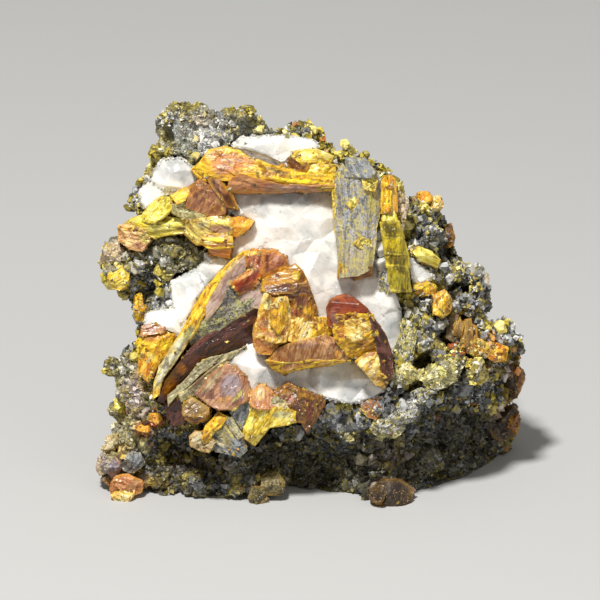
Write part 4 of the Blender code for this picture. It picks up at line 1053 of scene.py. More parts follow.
# ---- Brown wedge ----
# A pinkish brown blade seen on its striped side, with gold along its left edge and a dark prism across its
# right end.
rose_brown = orpiment("rose_brown", (0.18, 0.06, 0.028), (0.37, 0.145, 0.058), (0.56, 0.3, 0.13), streaks=0.9,
    rim=(0.6, 0.28, 0.02), dust=0.05, streak_size=3.2, relief=0.35)
crystal("brown_wedge_sheets", "brown_wedge", [
    sheet(rose_brown, [(-21.4, 49.4), (-19.6, 50.5), (-17.6, 51.6), (-15.9, 50.9), (-14.6, 49.2), (-13.5, 47.6),
        (-13.9, 46.5), (-15.4, 45.9), (-17.6, 46.6), (-19.4, 47.4), (-21, 47.9)],
        [(-17.5, 48.6, 7.6, 0.16, 0.3), (-16.5, 50.4, 8, -0.1, -0.7), (-20.2, 49, 6.6, 0.7, -0.1)], floor=-1, run=72,
        layers=0.16, paint=[(-18.6, 50.2, 2.0, 0.9, 24, (0.5, 0.21, 0.06)),
        (-15.2, 47.0, 1.6, 0.9, 20, (0.24, 0.075, 0.015)), (-14.9, 50.2, 0.5, 1.2, 30, (0.3, 0.16, 0.03))]),
    sheet(gold, [(-22.2, 49.2), (-20.2, 50.4), (-19.2, 50.3), (-20.3, 48.6), (-21.4, 48)],
        [(-20.8, 49.4, 6.9, 0.2, -0.3)], floor=-1, run=35),
    sheet(chestnut, [(-16.2, 51.8), (-14.7, 51.6), (-12.8, 49.5), (-11.9, 47.3), (-13.3, 47.5), (-14.7, 49.3),
        (-15.9, 50.8)],
        [(-14.3, 49.8, 8.5, -0.2, -0.3), (-13.6, 49, 8.4, -1.0, -0.5)], floor=-1, run=-62, layers=0.12),
])

# ---- Left gold fan ----
# Sheets of yellow orpiment that spread like a fan at the left edge, salmon where they are seen end on, with a
# thin olive plate lying on them.
lemon = orpiment("lemon_orpiment", (0.34, 0.27, 0.012), (0.72, 0.6, 0.05), (0.92, 0.86, 0.3), streaks=0.9,
    rim=(0.8, 0.6, 0.06))
olive = orpiment("olive_orpiment", (0.19, 0.16, 0.05), (0.41, 0.35, 0.14), (0.62, 0.56, 0.3), streaks=0.7,
    rim=(0.5, 0.4, 0.06), speckle=0.3, grain=3000.0)
layered_peach = orpiment("layered_peach", (0.34, 0.15, 0.05), (0.66, 0.38, 0.15), (0.9, 0.7, 0.34), streaks=0.9,
    streak_size=2.2, edging=0.2)
crystal("left_fan_sheets", "left_gold_fan", [
    sheet(lemon, [(-26.9, 46.3), (-25.4, 47.6), (-24, 48.7), (-22.3, 48.7), (-22.5, 47.2), (-23.8, 45.9),
        (-25.2, 45.1), (-26.9, 45.2)],
        [(-24, 47, 5.3, 0.3, -0.2), (-25.6, 46.6, 4.8, 0.7, -0.2)], floor=-6, run=48, layers=0.22),
    sheet(lemon, [(-29.7, 44.8), (-28, 45.6), (-26.6, 46), (-22.3, 45.4), (-19.2, 45), (-19.5, 43.7), (-22.3, 43.3),
        (-25.2, 42.9), (-27.2, 43.4)],
        [(-23, 44.6, 4.9, 0.22, -0.5), (-23, 44.2, 4.8, 0.22, 0.45), (-28, 44.4, 3.2, 0.8, 0)], floor=-8, run=4,
        layers=0.25, paint=[(-24.0, 43.4, 2.6, 0.3, 6, (0.3, 0.22, 0.02)),
        (-20.8, 43.9, 1.4, 0.5, 0, (0.28, 0.16, 0.02)), (-27.2, 44.6, 1.4, 0.8, 10, (0.82, 0.62, 0.04))]),
    sheet(layered_peach, [(-30.8, 44.3), (-28.8, 44.6), (-26.6, 43.7), (-26, 42), (-27.2, 40.6), (-29.2, 40.8),
        (-30.9, 42.3)],
        [(-28.4, 42.6, 3.2, 0.5, 0.1), (-28.4, 43.8, 3.4, 0.4, -0.5)], floor=-8, run=-4, layers=0.4,
        flakes=(4.0, 0.5), paint=[(-27.4, 41.2, 1.6, 0.6, 0, (0.4, 0.2, 0.1)),
        (-29.3, 43.9, 1.6, 0.35, 0, (0.84, 0.5, 0.1)), (-26.8, 42.6, 0.7, 1.2, 0, (0.56, 0.46, 0.12))]),
    sheet(olive, [(-22, 47.5), (-20.4, 48), (-18.1, 46.9), (-16.7, 46), (-16.9, 45.3), (-19, 45.1), (-21, 45.8),
        (-22, 46.5)],
        [(-19.4, 46.6, 6.6, 0.12, 0.15)], floor=0, run=-20, layers=0.08),
])

# ---- Left banded crystal ----
# Yellow and brown sheets in bands, cut off square at the right, with a clear orange tip and a salmon foot.
banded = orpiment("banded_orpiment", (0.14, 0.07, 0.022), (0.42, 0.28, 0.05), (0.78, 0.64, 0.16), streaks=1.1,
    streak_size=1.8, relief=0.6)
tangerine = orpiment("tangerine_orpiment", (0.5, 0.13, 0.004), (0.84, 0.37, 0.02), (0.96, 0.66, 0.12), gloss=0.2,
    rim=(0.9, 0.5, 0.02), glow=0.3)
crystal("left_banded_sheets", "left_banded_crystal", [
    sheet(banded, [(-19.6, 45), (-17.2, 45.5), (-13.1, 45.9), (-12.6, 45.4), (-12.7, 43.2), (-15, 42.5), (-16.6, 42),
        (-18.2, 41.6), (-20, 43.1)],
        [(-16, 44, 7.5, 0.08, 0.1), (-16, 44.9, 7.6, 0, -0.6), (-18.8, 43.6, 6.7, 0.8, 0.1)], floor=-1, run=-24,
        layers=0.3, paint=[(-14.6, 44.9, 2.0, 0.5, 4, (0.82, 0.6, 0.1)),
        (-14.6, 43.8, 2.0, 0.7, -4, (0.36, 0.19, 0.1)), (-17.4, 44.6, 1.2, 0.7, 10, (0.44, 0.36, 0.14)),
        (-16.2, 43.1, 1.4, 0.3, -20, (0.76, 0.56, 0.14))]),
    sheet(gold, [(-16.9, 42.7), (-12.8, 42.8), (-12.6, 41.1), (-15.9, 40.9), (-17.4, 41.6)],
        [(-14.6, 42, 7.9, 0.05, -0.3), (-14.6, 41.6, 7.8, 0.05, 0.6)], floor=-1, run=-8, layers=0.2,
        paint=[(-14.6, 42.2, 1.2, 0.4, 0, (0.96, 0.74, 0.05)), (-16.4, 41.6, 1.0, 0.4, -10, (0.86, 0.78, 0.36))]),
    sheet(salmon, [(-16.2, 41.2), (-12.9, 41.3), (-13.1, 39.4), (-15.9, 39.9)],
        [(-14.5, 40.4, 6.9, 0.05, 0.7)], floor=-1, run=-10),
    sheet(tangerine, [(-12.8, 45.4), (-11.5, 45.7), (-9.3, 45.1), (-9.9, 44.1), (-10.9, 43.3), (-12.1, 42.5),
        (-12.8, 43.2)],
        [(-11.4, 44.5, 7.4, -0.25, -0.3), (-11.2, 44.1, 7.4, -0.2, 0.6)], floor=-1, run=30, layers=0.15),
])

# ---- Grey prism, yellow rod and green-gold prism ----
# Three upright prisms on the right: a broad grey-lilac one with lengthwise stripes and yellow crusts, a
# narrow golden rod, and a green-gold one with cracks across it.
lilac_grey = orpiment("lilac_grey", (0.13, 0.13, 0.125), (0.295, 0.285, 0.27), (0.51, 0.5, 0.49), streaks=1.0,
    rim=(0.42, 0.34, 0.12), dust=0.42, gloss=0.3, glow=0.0, streak_size=3.0, dust_colour=(0.52, 0.44, 0.12),
    relief=0.5, speckle=0.28, grain=4200.0, flush=(0.38, 0.33, 0.21))
slate_blue = orpiment("slate_blue", (0.055, 0.06, 0.065), (0.15, 0.165, 0.18), (0.4, 0.42, 0.43), streaks=0.9,
    rim=(0.36, 0.3, 0.12), edging=0.3, gloss=0.24, glow=0.0, speckle=0.15, grain=3600.0, dust=0.1,
    dust_colour=(0.5, 0.42, 0.1), relief=0.7, streak_size=1.8)
crust = orpiment("yellow_crust", (0.34, 0.24, 0.012), (0.66, 0.5, 0.04), (0.88, 0.78, 0.24), streaks=0.2, gloss=0.36,
    glow=0.1, speckle=0.6, grain=3000.0, relief=0.9)
crystal("grey_prism_faces", "grey_prism", [
    sheet(lilac_grey, [(4.1, 50.2), (4.1, 52.4), (5.2, 54), (6.4, 52.6), (9.2, 52.4), (10.4, 52.6), (11.2, 51.2),
        (11.2, 46.8), (10.6, 44), (10.2, 40.4), (9.8, 37.4), (7.6, 36.5), (4.7, 36.1), (4.7, 39.2), (4.2, 43.2),
        (4, 47)],
        [(7, 46, 8.9, -0.1, 0.02), (9, 45, 8.75, -0.9, 0.0), (4.9, 45, 8.8, 1.3, 0.02)], floor=-2, run=91,
        layers=0.13, flakes=(2.2, 0.5), flush=[(7.4, 38.6, 3.4, 3.4)],
        paint=[(6.0, 47.4, 0.9, 4.4, 0, (0.29, 0.3, 0.335)), (9.9, 48.8, 0.8, 3.4, 2, (0.42, 0.37, 0.13)),
        (8.4, 49.4, 0.35, 2.6, 0, (0.19, 0.205, 0.23)), (10.2, 42.6, 0.5, 2.6, 3, (0.6, 0.58, 0.58)),
        (5.0, 43.0, 0.3, 3.4, 0, (0.5, 0.44, 0.2)), (7.6, 44.6, 0.8, 1.2, 20, (0.44, 0.4, 0.22)),
        (6.6, 41.0, 0.5, 2.2, 0, (0.42, 0.38, 0.3)), (9.2, 39.2, 0.5, 1.6, 0, (0.5, 0.44, 0.16)),
        (5.4, 37.4, 0.7, 0.9, 0, (0.62, 0.44, 0.1))]),
    sheet(slate_blue, [(5.9, 52.4), (6, 55.2), (8.8, 55.1), (10.3, 53), (9.6, 52.2)],
        [(7.8, 53.4, 8.5, 0, -0.75)], floor=-2, run=90, layers=0.05),
    sheet(crust, [(3.9, 50), (4.1, 52.4), (4.9, 53), (4.9, 47), (4.9, 42), (4.2, 43.2), (3.9, 47)],
        [(4.4, 47, 8.0, 1.0, 0.05)], floor=1, run=90, layers=0.3),
    sheet(chestnut, [(7.4, 35.9), (7.2, 36.8), (9.7, 37.6), (9.8, 36.6), (8.6, 36.2)],
        [(8.5, 36.8, 7.4, 0, 1.3)], floor=1, run=0, layers=0.05),
    sheet(crust, [(5.8, 48.2), (6.4, 49.6), (7.5, 48.8), (8, 47), (7.2, 46.2), (6.4, 47.2)],
        [(6.8, 48, 9.3, 0.1, -0.2), (7, 47.4, 9.2, -0.4, 0.3)], floor=4, run=70, layers=0.4),
    sheet(crust, [(8.6, 51.6), (9.8, 52.6), (10.8, 51.6), (10.4, 50), (9, 50.2)],
        [(9.8, 51.2, 8.6, -0.5, -0.3)], floor=4, run=20, layers=0.4),
    sheet(crust, [(7.4, 41.6), (8.2, 42.4), (9.8, 42), (9.9, 41), (8.4, 40.8)],
        [(8.8, 41.6, 8.8, -0.5, 0.2)], floor=4, run=20, layers=0.4),
    sheet(gold, [(4.8, 36.2), (4.8, 38), (5.8, 37.4), (6, 36.4)],
        [(5.4, 37, 8.4, -0.2, 0.6)], floor=1, run=60),
])
crystal("yellow_rod_faces", "yellow_rod", [
    sheet(gold, [(11.7, 46.5), (11.6, 51.5), (12.2, 52.3), (13, 52.2), (12.9, 46.6)],
        [(12.6, 50, 7.5, 0.35, 0.02), (12.4, 51.3, 7.3, 0, -1.0)], floor=-2, run=90, layers=0.16,
        paint=[(12.5, 49.2, 0.4, 2.6, 0, (0.93, 0.62, 0.03))]),
    sheet(tangerine, [(12.8, 46.8), (12.9, 52.1), (13.5, 51.8), (13.8, 46.8)],
        [(13.1, 50, 7.3, -0.9, 0.02)], floor=-2, run=90, layers=0.1),
    sheet(lemon, [(11.8, 44.7), (11.9, 46.8), (13.4, 46.9), (13.9, 45), (13.2, 44.6)],
        [(12.8, 46, 7.0, 0.1, -0.2)], floor=-2, run=90, layers=0.2),
])
green_gold = orpiment("green_gold", (0.07, 0.05, 0.001), (0.24, 0.18, 0.003), (0.62, 0.48, 0.02), streaks=0.4,
    rim=(0.74, 0.6, 0.1), gloss=0.12, glow=0.12, flush=(0.06, 0.045, 0.001), relief=0.35)
BANDS = [
    # top, bottom, height, colour of its middle, colour of its lower edge
    (45.0, 42.5, 8.0, (0.14, 0.105, 0.001), (0.07, 0.052, 0.001)),
    (42.5, 39.9, 8.15, (0.46, 0.34, 0.003), (0.13, 0.10, 0.001)),
    (39.9, 37.8, 8.0, (0.19, 0.135, 0.001), (0.80, 0.62, 0.03)),
    (37.8, 33.8, 8.1, (0.27, 0.22, 0.006), (0.58, 0.50, 0.08)),
]
bands = []
for top, bottom, height, middle_colour, edge_colour in BANDS:
    left = [11.5 + 0.15 * (45 - y) for y in (top, bottom)]
    right = [min(14.2 + 0.30 * (45 - y), 15 + 0.115 * (45 - y)) for y in (top, bottom)]
    bands.append(sheet(
        green_gold, [(left[1], bottom), (left[0], top - 0.12), (right[0], top - 0.12), (right[1], bottom)],
        [(13.6, (top + bottom) / 2, height, 0.25, -0.06), (14.5, 40, height - 0.05, -0.9, 0.03)],
        floor=-1, run=86, layers=0.1,
        paint=[(13.2, (top + bottom) / 2 + 0.2, 2.4, (top - bottom) * 0.36, -6, middle_colour),
               (13.4, bottom + 0.2, 2.2, 0.16, -6, edge_colour)]))
crystal("green_gold_faces", "green_gold_prism", bands)

# ---- Diagonal blade ----
# The largest blade, which runs down to the left: a gold edge, a pale lilac bevel, a grey mossy face, a dark
# maroon broken side, darkened partly as painted shade, with a painted orange glow at its foot, and thin pale
# sheets along the bottom.
lilac = orpiment("lilac_orpiment", (0.24, 0.13, 0.1), (0.4, 0.26, 0.21), (0.58, 0.44, 0.38), streaks=0.5,
    rim=(0.62, 0.42, 0.16), gloss=0.18)
mossy = orpiment("mossy_grey", (0.05, 0.045, 0.035), (0.14, 0.13, 0.1), (0.34, 0.32, 0.25), streaks=0.4, dust=0.35,
    dust_colour=(0.4, 0.36, 0.12), gloss=0.32, glow=0.0, rim=(0.4, 0.34, 0.12), speckle=0.55, grain=3600.0,
    relief=0.7)
# maroon: partly the crystal's own dark red, partly painted shade where its sides turn from the light
shaded_maroon = orpiment("shaded_maroon_orpiment", (0.024, 0.007, 0.005), (0.085, 0.021, 0.012), (0.19, 0.065, 0.045), streaks=1.1,
    rim=(0.16, 0.05, 0.02), edging=0.3, gloss=0.16, glow=0.05, relief=0.3, flush=(0.46, 0.15, 0.008))
pale = orpiment("pale_sheets", (0.17, 0.15, 0.075), (0.36, 0.32, 0.19), (0.64, 0.59, 0.38), streaks=0.9, gloss=0.3,
    rim=(0.66, 0.58, 0.24), speckle=0.35, grain=3200.0, streak_size=3.4)
crystal("diagonal_blade_sheets", "diagonal_blade", [
    sheet(gold, [(-25.2, 16.9), (-24.9, 19), (-24.1, 21.4), (-22.7, 23.8), (-21.3, 25.9), (-19.1, 29.9), (-18, 32.3),
        (-16.5, 34.3), (-14.6, 36.5), (-12.7, 38.4), (-10.8, 39.9), (-8.6, 40.3), (-8.6, 39.4), (-10.6, 38.8),
        (-13.4, 36), (-15.3, 33.4), (-16.4, 31), (-18.3, 27.8), (-20.4, 24.5), (-22.3, 22), (-23.8, 20),
        (-24.6, 17.4)],
        [(-18.6, 29.5, 9.2, 0.5, -0.32), (-18.2, 29.3, 9.4, -0.5, 0.3)], floor=-2, run=58, layers=0.3,
        paint=[(-22.7, 22.4, 5.8, 1.6, 58, (0.46, 0.44, 0.29)), (-19.6, 26.9, 1.6, 0.7, 58, (0.42, 0.39, 0.14)),
        (-23.6, 20.6, 2.0, 0.4, 62, (0.6, 0.58, 0.44)), (-12.4, 38.0, 2.6, 0.4, 45, (0.84, 0.66, 0.24)),
        (-17.2, 31.4, 2.6, 0.4, 60, (0.86, 0.5, 0.03)), (-10.6, 39.5, 1.8, 0.3, 12, (0.84, 0.5, 0.06))]),
    sheet(lilac, [(-8.8, 39.6), (-9.6, 37.6), (-11.6, 35.8), (-13.6, 33.4), (-15.4, 31), (-16.6, 29.6), (-16.6, 31.2),
        (-15.2, 33.8), (-13.4, 36.3), (-10.6, 39.2)],
        [(-13, 34.5, 9.3, -0.1, 0.05)], floor=-2, run=52, layers=0.1),
    sheet(mossy, [(-15.6, 32.6), (-13.5, 34.4), (-11.9, 35), (-9, 35), (-7.6, 34.2), (-7.4, 32), (-10, 30.8),
        (-12.8, 29.1), (-15.2, 27.5), (-17.6, 26.2), (-19, 25.2), (-19.4, 26.8), (-17.8, 29.4)],
        [(-14, 31, 9.1, 0.02, 0.06), (-14, 28.8, 8.9, -0.1, 0.5)], floor=-2, run=40, layers=0.25,
        paint=[(-14.2, 31.7, 2.7, 1.7, 45, (0.115, 0.1, 0.095)), (-10.6, 32.6, 2.6, 1.0, 40, (0.32, 0.31, 0.15)),
        (-17.2, 28.2, 1.6, 0.9, 45, (0.42, 0.4, 0.17)), (-15.2, 29.4, 2.0, 0.4, 40, (0.1, 0.09, 0.07))]),
    sheet(lilac, [(-11.8, 33), (-10.4, 34.8), (-8.6, 35.2), (-7.4, 34.4), (-7.3, 31.8), (-8.2, 31.2), (-10.2, 31.6)],
        [(-9.4, 33, 9.5, 0.15, 0.1)], floor=-2, run=30, layers=0.08),
    sheet(shaded_maroon, [(-7.6, 31.6), (-10.5, 30), (-13.1, 28.6), (-15.4, 27.2), (-17.6, 26), (-19, 24.6), (-20.4, 22.9),
        (-21.9, 21.2), (-23.1, 19.3), (-23.8, 17.8), (-24.3, 16.2), (-23.2, 15.8), (-21.4, 17), (-20, 19),
        (-18.2, 20.6), (-16.4, 22), (-14.3, 23), (-11.9, 23.9), (-10.3, 24.8), (-9, 25.8), (-9, 27.8), (-8.2, 30)],
        [(-15, 25.5, 7.6, -0.45, 0.75), (-15, 26.6, 8.3, -0.1, 0.15)], floor=-2, run=36, layers=0.16,
        # painted glow: the flush spots give the foot of the maroon side an orange glow
        flush=[(-22.6, 18.6, 1.5, 2.2), (-20.8, 21.4, 0.8, 1.0)],
        paint=[(-12.5, 27.2, 5.0, 0.5, 32, (0.15, 0.055, 0.04)), (-16.5, 25.4, 3.4, 0.4, 38, (0.045, 0.016, 0.012)),
        (-22.4, 20.2, 2.2, 0.55, 52, (0.3, 0.13, 0.01)), (-22.9, 18.2, 1.0, 0.5, 60, (0.62, 0.24, 0.008)),
        (-9.4, 29.0, 2.0, 0.6, 40, (0.19, 0.07, 0.05))]),
    sheet(pale, [(-22.8, 15.7), (-21.4, 17.3), (-19, 19.1), (-17.6, 20.7), (-15.4, 22), (-12.8, 23.1), (-10.6, 24.9),
        (-12.8, 23.9), (-16.6, 22.9), (-18.6, 21.2), (-20.4, 19.2), (-22.8, 17)],
        [(-17, 21.2, 7.3, -0.25, 0.3)], floor=0, run=38, layers=0.2),
    sheet(shaded_maroon, [(-20.8, 16.6), (-18.4, 18.3), (-16.2, 20.2), (-13.6, 22.4), (-13.2, 23), (-15.4, 22),
        (-17.6, 20.4), (-19.4, 18.5)],
        [(-17, 20, 6.6, -0.3, 0.5)], floor=0, run=40, layers=0.1),
    sheet(pale, [(-20.6, 16.4), (-18.2, 17.5), (-15.9, 20), (-13.4, 22), (-13.6, 22.7), (-16.2, 20.9), (-18.6, 18.6),
        (-20.8, 17.2)],
        [(-17, 19.6, 7.2, -0.3, 0.4)], floor=0, run=40, layers=0.2,
        paint=[(-17.2, 20.0, 3.6, 0.35, 42, (0.17, 0.055, 0.04))]),
])

# ---- Orange-red crystals ----
# Two clear red to orange crystals, coloured by realgar, that stand on the head of the diagonal blade.
blood_orange = orpiment("blood_orange", (0.11, 0.01, 0.002), (0.28, 0.034, 0.003), (0.54, 0.14, 0.015), streaks=0.4,
    rim=(0.74, 0.3, 0.01), edging=0.5, gloss=0.14, glow=0.25, relief=0.5)
burnt = orpiment("burnt_orange", (0.18, 0.04, 0.012), (0.36, 0.115, 0.045), (0.62, 0.28, 0.12), streaks=0.6,
    rim=(0.78, 0.34, 0.01), edging=0.5, gloss=0.14, glow=0.2, flush=(0.12, 0.012, 0.002))
crystal("upper_red_faces", "orange_red_crystal", [
    sheet(burnt, [(-7.6, 39.7), (-5.9, 40.4), (-4, 39.1), (-3.8, 38.1), (-4.9, 37.1), (-7.5, 36), (-7.2, 38.2)],
        [(-5.6, 38.6, 10.8, -0.05, 0.1), (-4.6, 38.4, 10.6, -0.7, 0), (-6.4, 37.2, 10.5, 0.1, 0.55),
        (-5.6, 39.9, 10.6, -0.2, -0.8)], floor=1, run=40, layers=0.12,
        paint=[(-5.4, 37.1, 2.2, 0.45, 24, (0.7, 0.26, 0.01)), (-6.9, 38.6, 0.35, 1.4, 0, (0.16, 0.022, 0.006)),
        (-5.2, 39.2, 1.0, 0.5, 40, (0.52, 0.26, 0.17))]),
    sheet(burnt, [(-10.4, 39.8), (-9, 40.4), (-7.3, 40.2), (-7, 38.5), (-7.5, 36.2), (-8.8, 35.4), (-9.8, 37.2)],
        [(-8.4, 38.2, 10.3, 0.2, -0.1), (-7.9, 37, 10.2, -0.1, 0.5), (-9.6, 38.4, 10.0, 0.8, 0)], floor=1, run=80,
        layers=0.2, flakes=(1.6, 0.6), paint=[(-9.6, 39.9, 1.6, 0.4, 8, (0.84, 0.6, 0.12)),
        (-8.4, 38.2, 0.3, 1.5, -12, (0.2, 0.025, 0.004)), (-9.2, 37.6, 0.5, 1.2, 10, (0.5, 0.24, 0.12)),
        (-7.7, 36.9, 0.5, 1.0, 0, (0.66, 0.24, 0.02))]),
])
crystal("lower_red_faces", "small_red_crystal", [
    sheet(blood_orange, [(-12.6, 35), (-11.2, 36), (-9.9, 36.9), (-8, 37.3), (-8, 35.9), (-9.2, 34.3), (-11.3, 33.5),
        (-12.1, 34.2)],
        [(-10.4, 35.4, 10.7, 0.15, 0.1), (-9.8, 34.6, 10.4, -0.3, 0.8), (-10.8, 36.1, 10.6, 0.5, -0.7),
        (-9, 36.2, 10.6, -0.5, -0.1)], floor=3, run=45, layers=0.1,
        paint=[(-10.2, 36.4, 1.8, 0.35, 28, (0.6, 0.28, 0.1)), (-9.6, 34.9, 1.0, 0.6, 40, (0.52, 0.12, 0.01))]),
])

# ---- Centre cluster ----
# Stout amber crystals grown into each other, with a dark band across the upper ones and a pale golden lobe
# on the left.
amber = orpiment("amber_orpiment", (0.12, 0.035, 0.005), (0.34, 0.13, 0.012), (0.6, 0.32, 0.035), streaks=0.6,
    gloss=0.16, glow=0.2, flush=(0.09, 0.035, 0.022))
honey = orpiment("honey_orpiment", (0.36, 0.15, 0.01), (0.88, 0.58, 0.1), (0.98, 0.88, 0.5), streaks=0.3, gloss=0.2,
    glow=0.2, flush=(0.46, 0.14, 0.01), relief=0.7)
crystal("centre_cluster_faces", "centre_cluster", [
    sheet(amber, [(-7.5, 34), (-7.4, 35.5), (-5, 36.9), (-2.5, 37.8), (-1.5, 37), (-0.8, 35.8), (-0.4, 34.4),
        (-3, 33.6), (-6, 33.4)],
        [(-4, 35, 11.3, 0.1, -0.15), (-1.6, 35.4, 11.1, -0.9, -0.1), (-4, 36.3, 11.3, 0.1, -0.7)], floor=-2, run=12,
        layers=0.2, flush=[(-3, 34.2, 2.8, 0.8)], paint=[(-2.2, 36.4, 0.8, 0.9, 0, (0.6, 0.4, 0.015)),
        (-5.8, 35.2, 1.2, 0.6, 12, (0.5, 0.21, 0.03)), (-3.8, 34.2, 2.8, 0.8, 8, (0.12, 0.04, 0.015)),
        (-4.4, 35.8, 1.8, 0.2, 12, (0.6, 0.36, 0.14))]),
    sheet(chestnut, [(-6.6, 33.2), (-6.2, 34.6), (-3, 34.6), (-0.5, 35), (0.1, 33.2), (-2.6, 32.6), (-5, 32.6)],
        [(-3, 33.7, 11.0, 0.05, 0.2)], floor=-2, run=5, layers=0.22,
        paint=[(-3.6, 33.7, 2.8, 0.45, 6, (0.1, 0.032, 0.017)), (-2.6, 33.2, 1.6, 0.15, 6, (0.46, 0.3, 0.22))]),
    sheet(amber, [(-3.6, 33), (0.1, 33.4), (0.9, 30.5), (0.2, 29.4), (-1, 29.2), (-3.1, 29.8), (-3.6, 31)],
        [(-1.6, 31.4, 10.9, 0.1, 0.1), (-0.2, 31.4, 10.7, -0.8, 0.1), (-3, 31, 10.6, 0.6, 0)], floor=-2, run=80,
        layers=0.3, paint=[(-1.2, 32.2, 1.6, 0.9, 0, (0.22, 0.08, 0.04)),
        (-0.2, 30.6, 0.7, 1.0, 70, (0.6, 0.34, 0.02)), (-2.6, 30.4, 0.9, 0.8, 30, (0.32, 0.085, 0.02))]),
    sheet(honey, [(-7.3, 33.4), (-6, 32.7), (-3.8, 32.9), (-3.2, 30.9), (-3.2, 28), (-3.9, 25.8), (-5.6, 25.5),
        (-7.2, 26), (-8.8, 26.6), (-8.8, 28), (-8, 29.7), (-8, 31)],
        [(-5.6, 29.5, 11.3, 0.15, 0.1), (-4.2, 29, 11.2, -0.7, 0.1), (-7.6, 29, 10.6, 0.7, 0)], floor=-2, run=75,
        layers=0.3, flakes=(1.6, 1.2), flush=[(-7.6, 28.4, 1.0, 1.8), (-4.2, 27.4, 0.7, 1.4)],
        # painted highlight: the cream spot at (-6.7, 31.8) on this line
        paint=[(-6.7, 31.8, 0.7, 1.2, 0, (0.88, 0.78, 0.32)), (-4.6, 28.0, 0.7, 1.4, 80, (0.62, 0.26, 0.05)),
        (-7.4, 28.6, 0.7, 1.2, 80, (0.62, 0.32, 0.12)), (-5.4, 30.6, 0.6, 0.8, 0, (0.92, 0.6, 0.03)),
        (-3.8, 30.8, 0.35, 1.6, 4, (0.3, 0.1, 0.02)), (-6.2, 26.8, 1.4, 0.5, -20, (0.54, 0.26, 0.1))]),
    sheet(gold, [(-6.2, 31.6), (-5, 32.4), (-4, 31.6), (-4, 28.8), (-5, 27.2), (-6, 28.4)],
        [(-5, 29.8, 11.8, 0.3, -0.1), (-4.6, 29.8, 11.8, -0.6, 0.1)], floor=2, run=85, layers=0.3),
    sheet(rose_amber, [(-8.9, 26.9), (-7.8, 27.2), (-6.2, 26.2), (-5.2, 25.3), (-6.5, 23.8), (-8, 24), (-8.8, 25)],
        [(-7.3, 25.6, 9.9, 0.3, 0.4), (-6.4, 25.4, 9.9, -0.6, 0.3)], floor=-2, run=60, layers=0.2),
])

# ---- Lower striated crystal ----
# A broad salmon blade with fine upright stripes and a gold lower edge, and a knot of small gold crystals above.
peach = orpiment("peach_orpiment", (0.18, 0.058, 0.014), (0.31, 0.13, 0.036), (0.5, 0.31, 0.13), streaks=0.95,
    streak_size=3.6)
crystal("lower_striated_sheets", "lower_striated_crystal", [
    sheet(peach, [(-6.7, 22.5), (-5.4, 24.4), (-3.4, 25.4), (-1, 25.9), (2.2, 26.8), (4, 26.2), (5.1, 24.7),
        (6.1, 22.9), (3, 22.4), (-1, 21.9), (-4, 21)],
        [(0, 24.2, 10.6, 0.02, 0.28), (0, 25.6, 10.8, 0.0, -0.7), (-5, 23, 9.6, 0.4, 0.1)], floor=-2, run=86,
        layers=0.12, paint=[(-4.6, 23.2, 1.0, 1.0, 0, (0.3, 0.12, 0.035)),
        (2.8, 24.9, 1.4, 0.9, 80, (0.5, 0.26, 0.11)), (4.6, 23.6, 1.0, 0.7, 60, (0.58, 0.26, 0.03)),
        (-0.6, 25.1, 2.0, 0.4, 12, (0.33, 0.17, 0.11))]),
    sheet(gold, [(-6.7, 22.6), (-6.2, 21.6), (-4.2, 20.6), (-1, 21.6), (3, 22.2), (6.1, 22.8), (5.6, 23.4), (1, 22.8),
        (-3, 22)],
        [(0, 22.3, 10.2, 0.0, 0.9), (0, 22.8, 10.4, 0, -0.2)], floor=-2, run=8, layers=0.22),
    sheet(honey, [(-3.3, 26), (-3.1, 29.6), (-1, 29.4), (0.6, 28), (0.2, 26), (-1.6, 25.4)],
        [(-1.6, 27.6, 10.7, -0.2, 0.1), (-2.4, 27.4, 10.6, 0.5, 0)], floor=-2, run=70, layers=0.35),
    sheet(gold, [(0.2, 26.4), (0.5, 29.3), (2.8, 29.3), (3.3, 27), (2.4, 26.4)],
        [(1.7, 28, 10.5, 0.2, -0.15), (1.2, 27.4, 10.5, -0.3, 0.4)], floor=-2, run=95, layers=0.35),
])

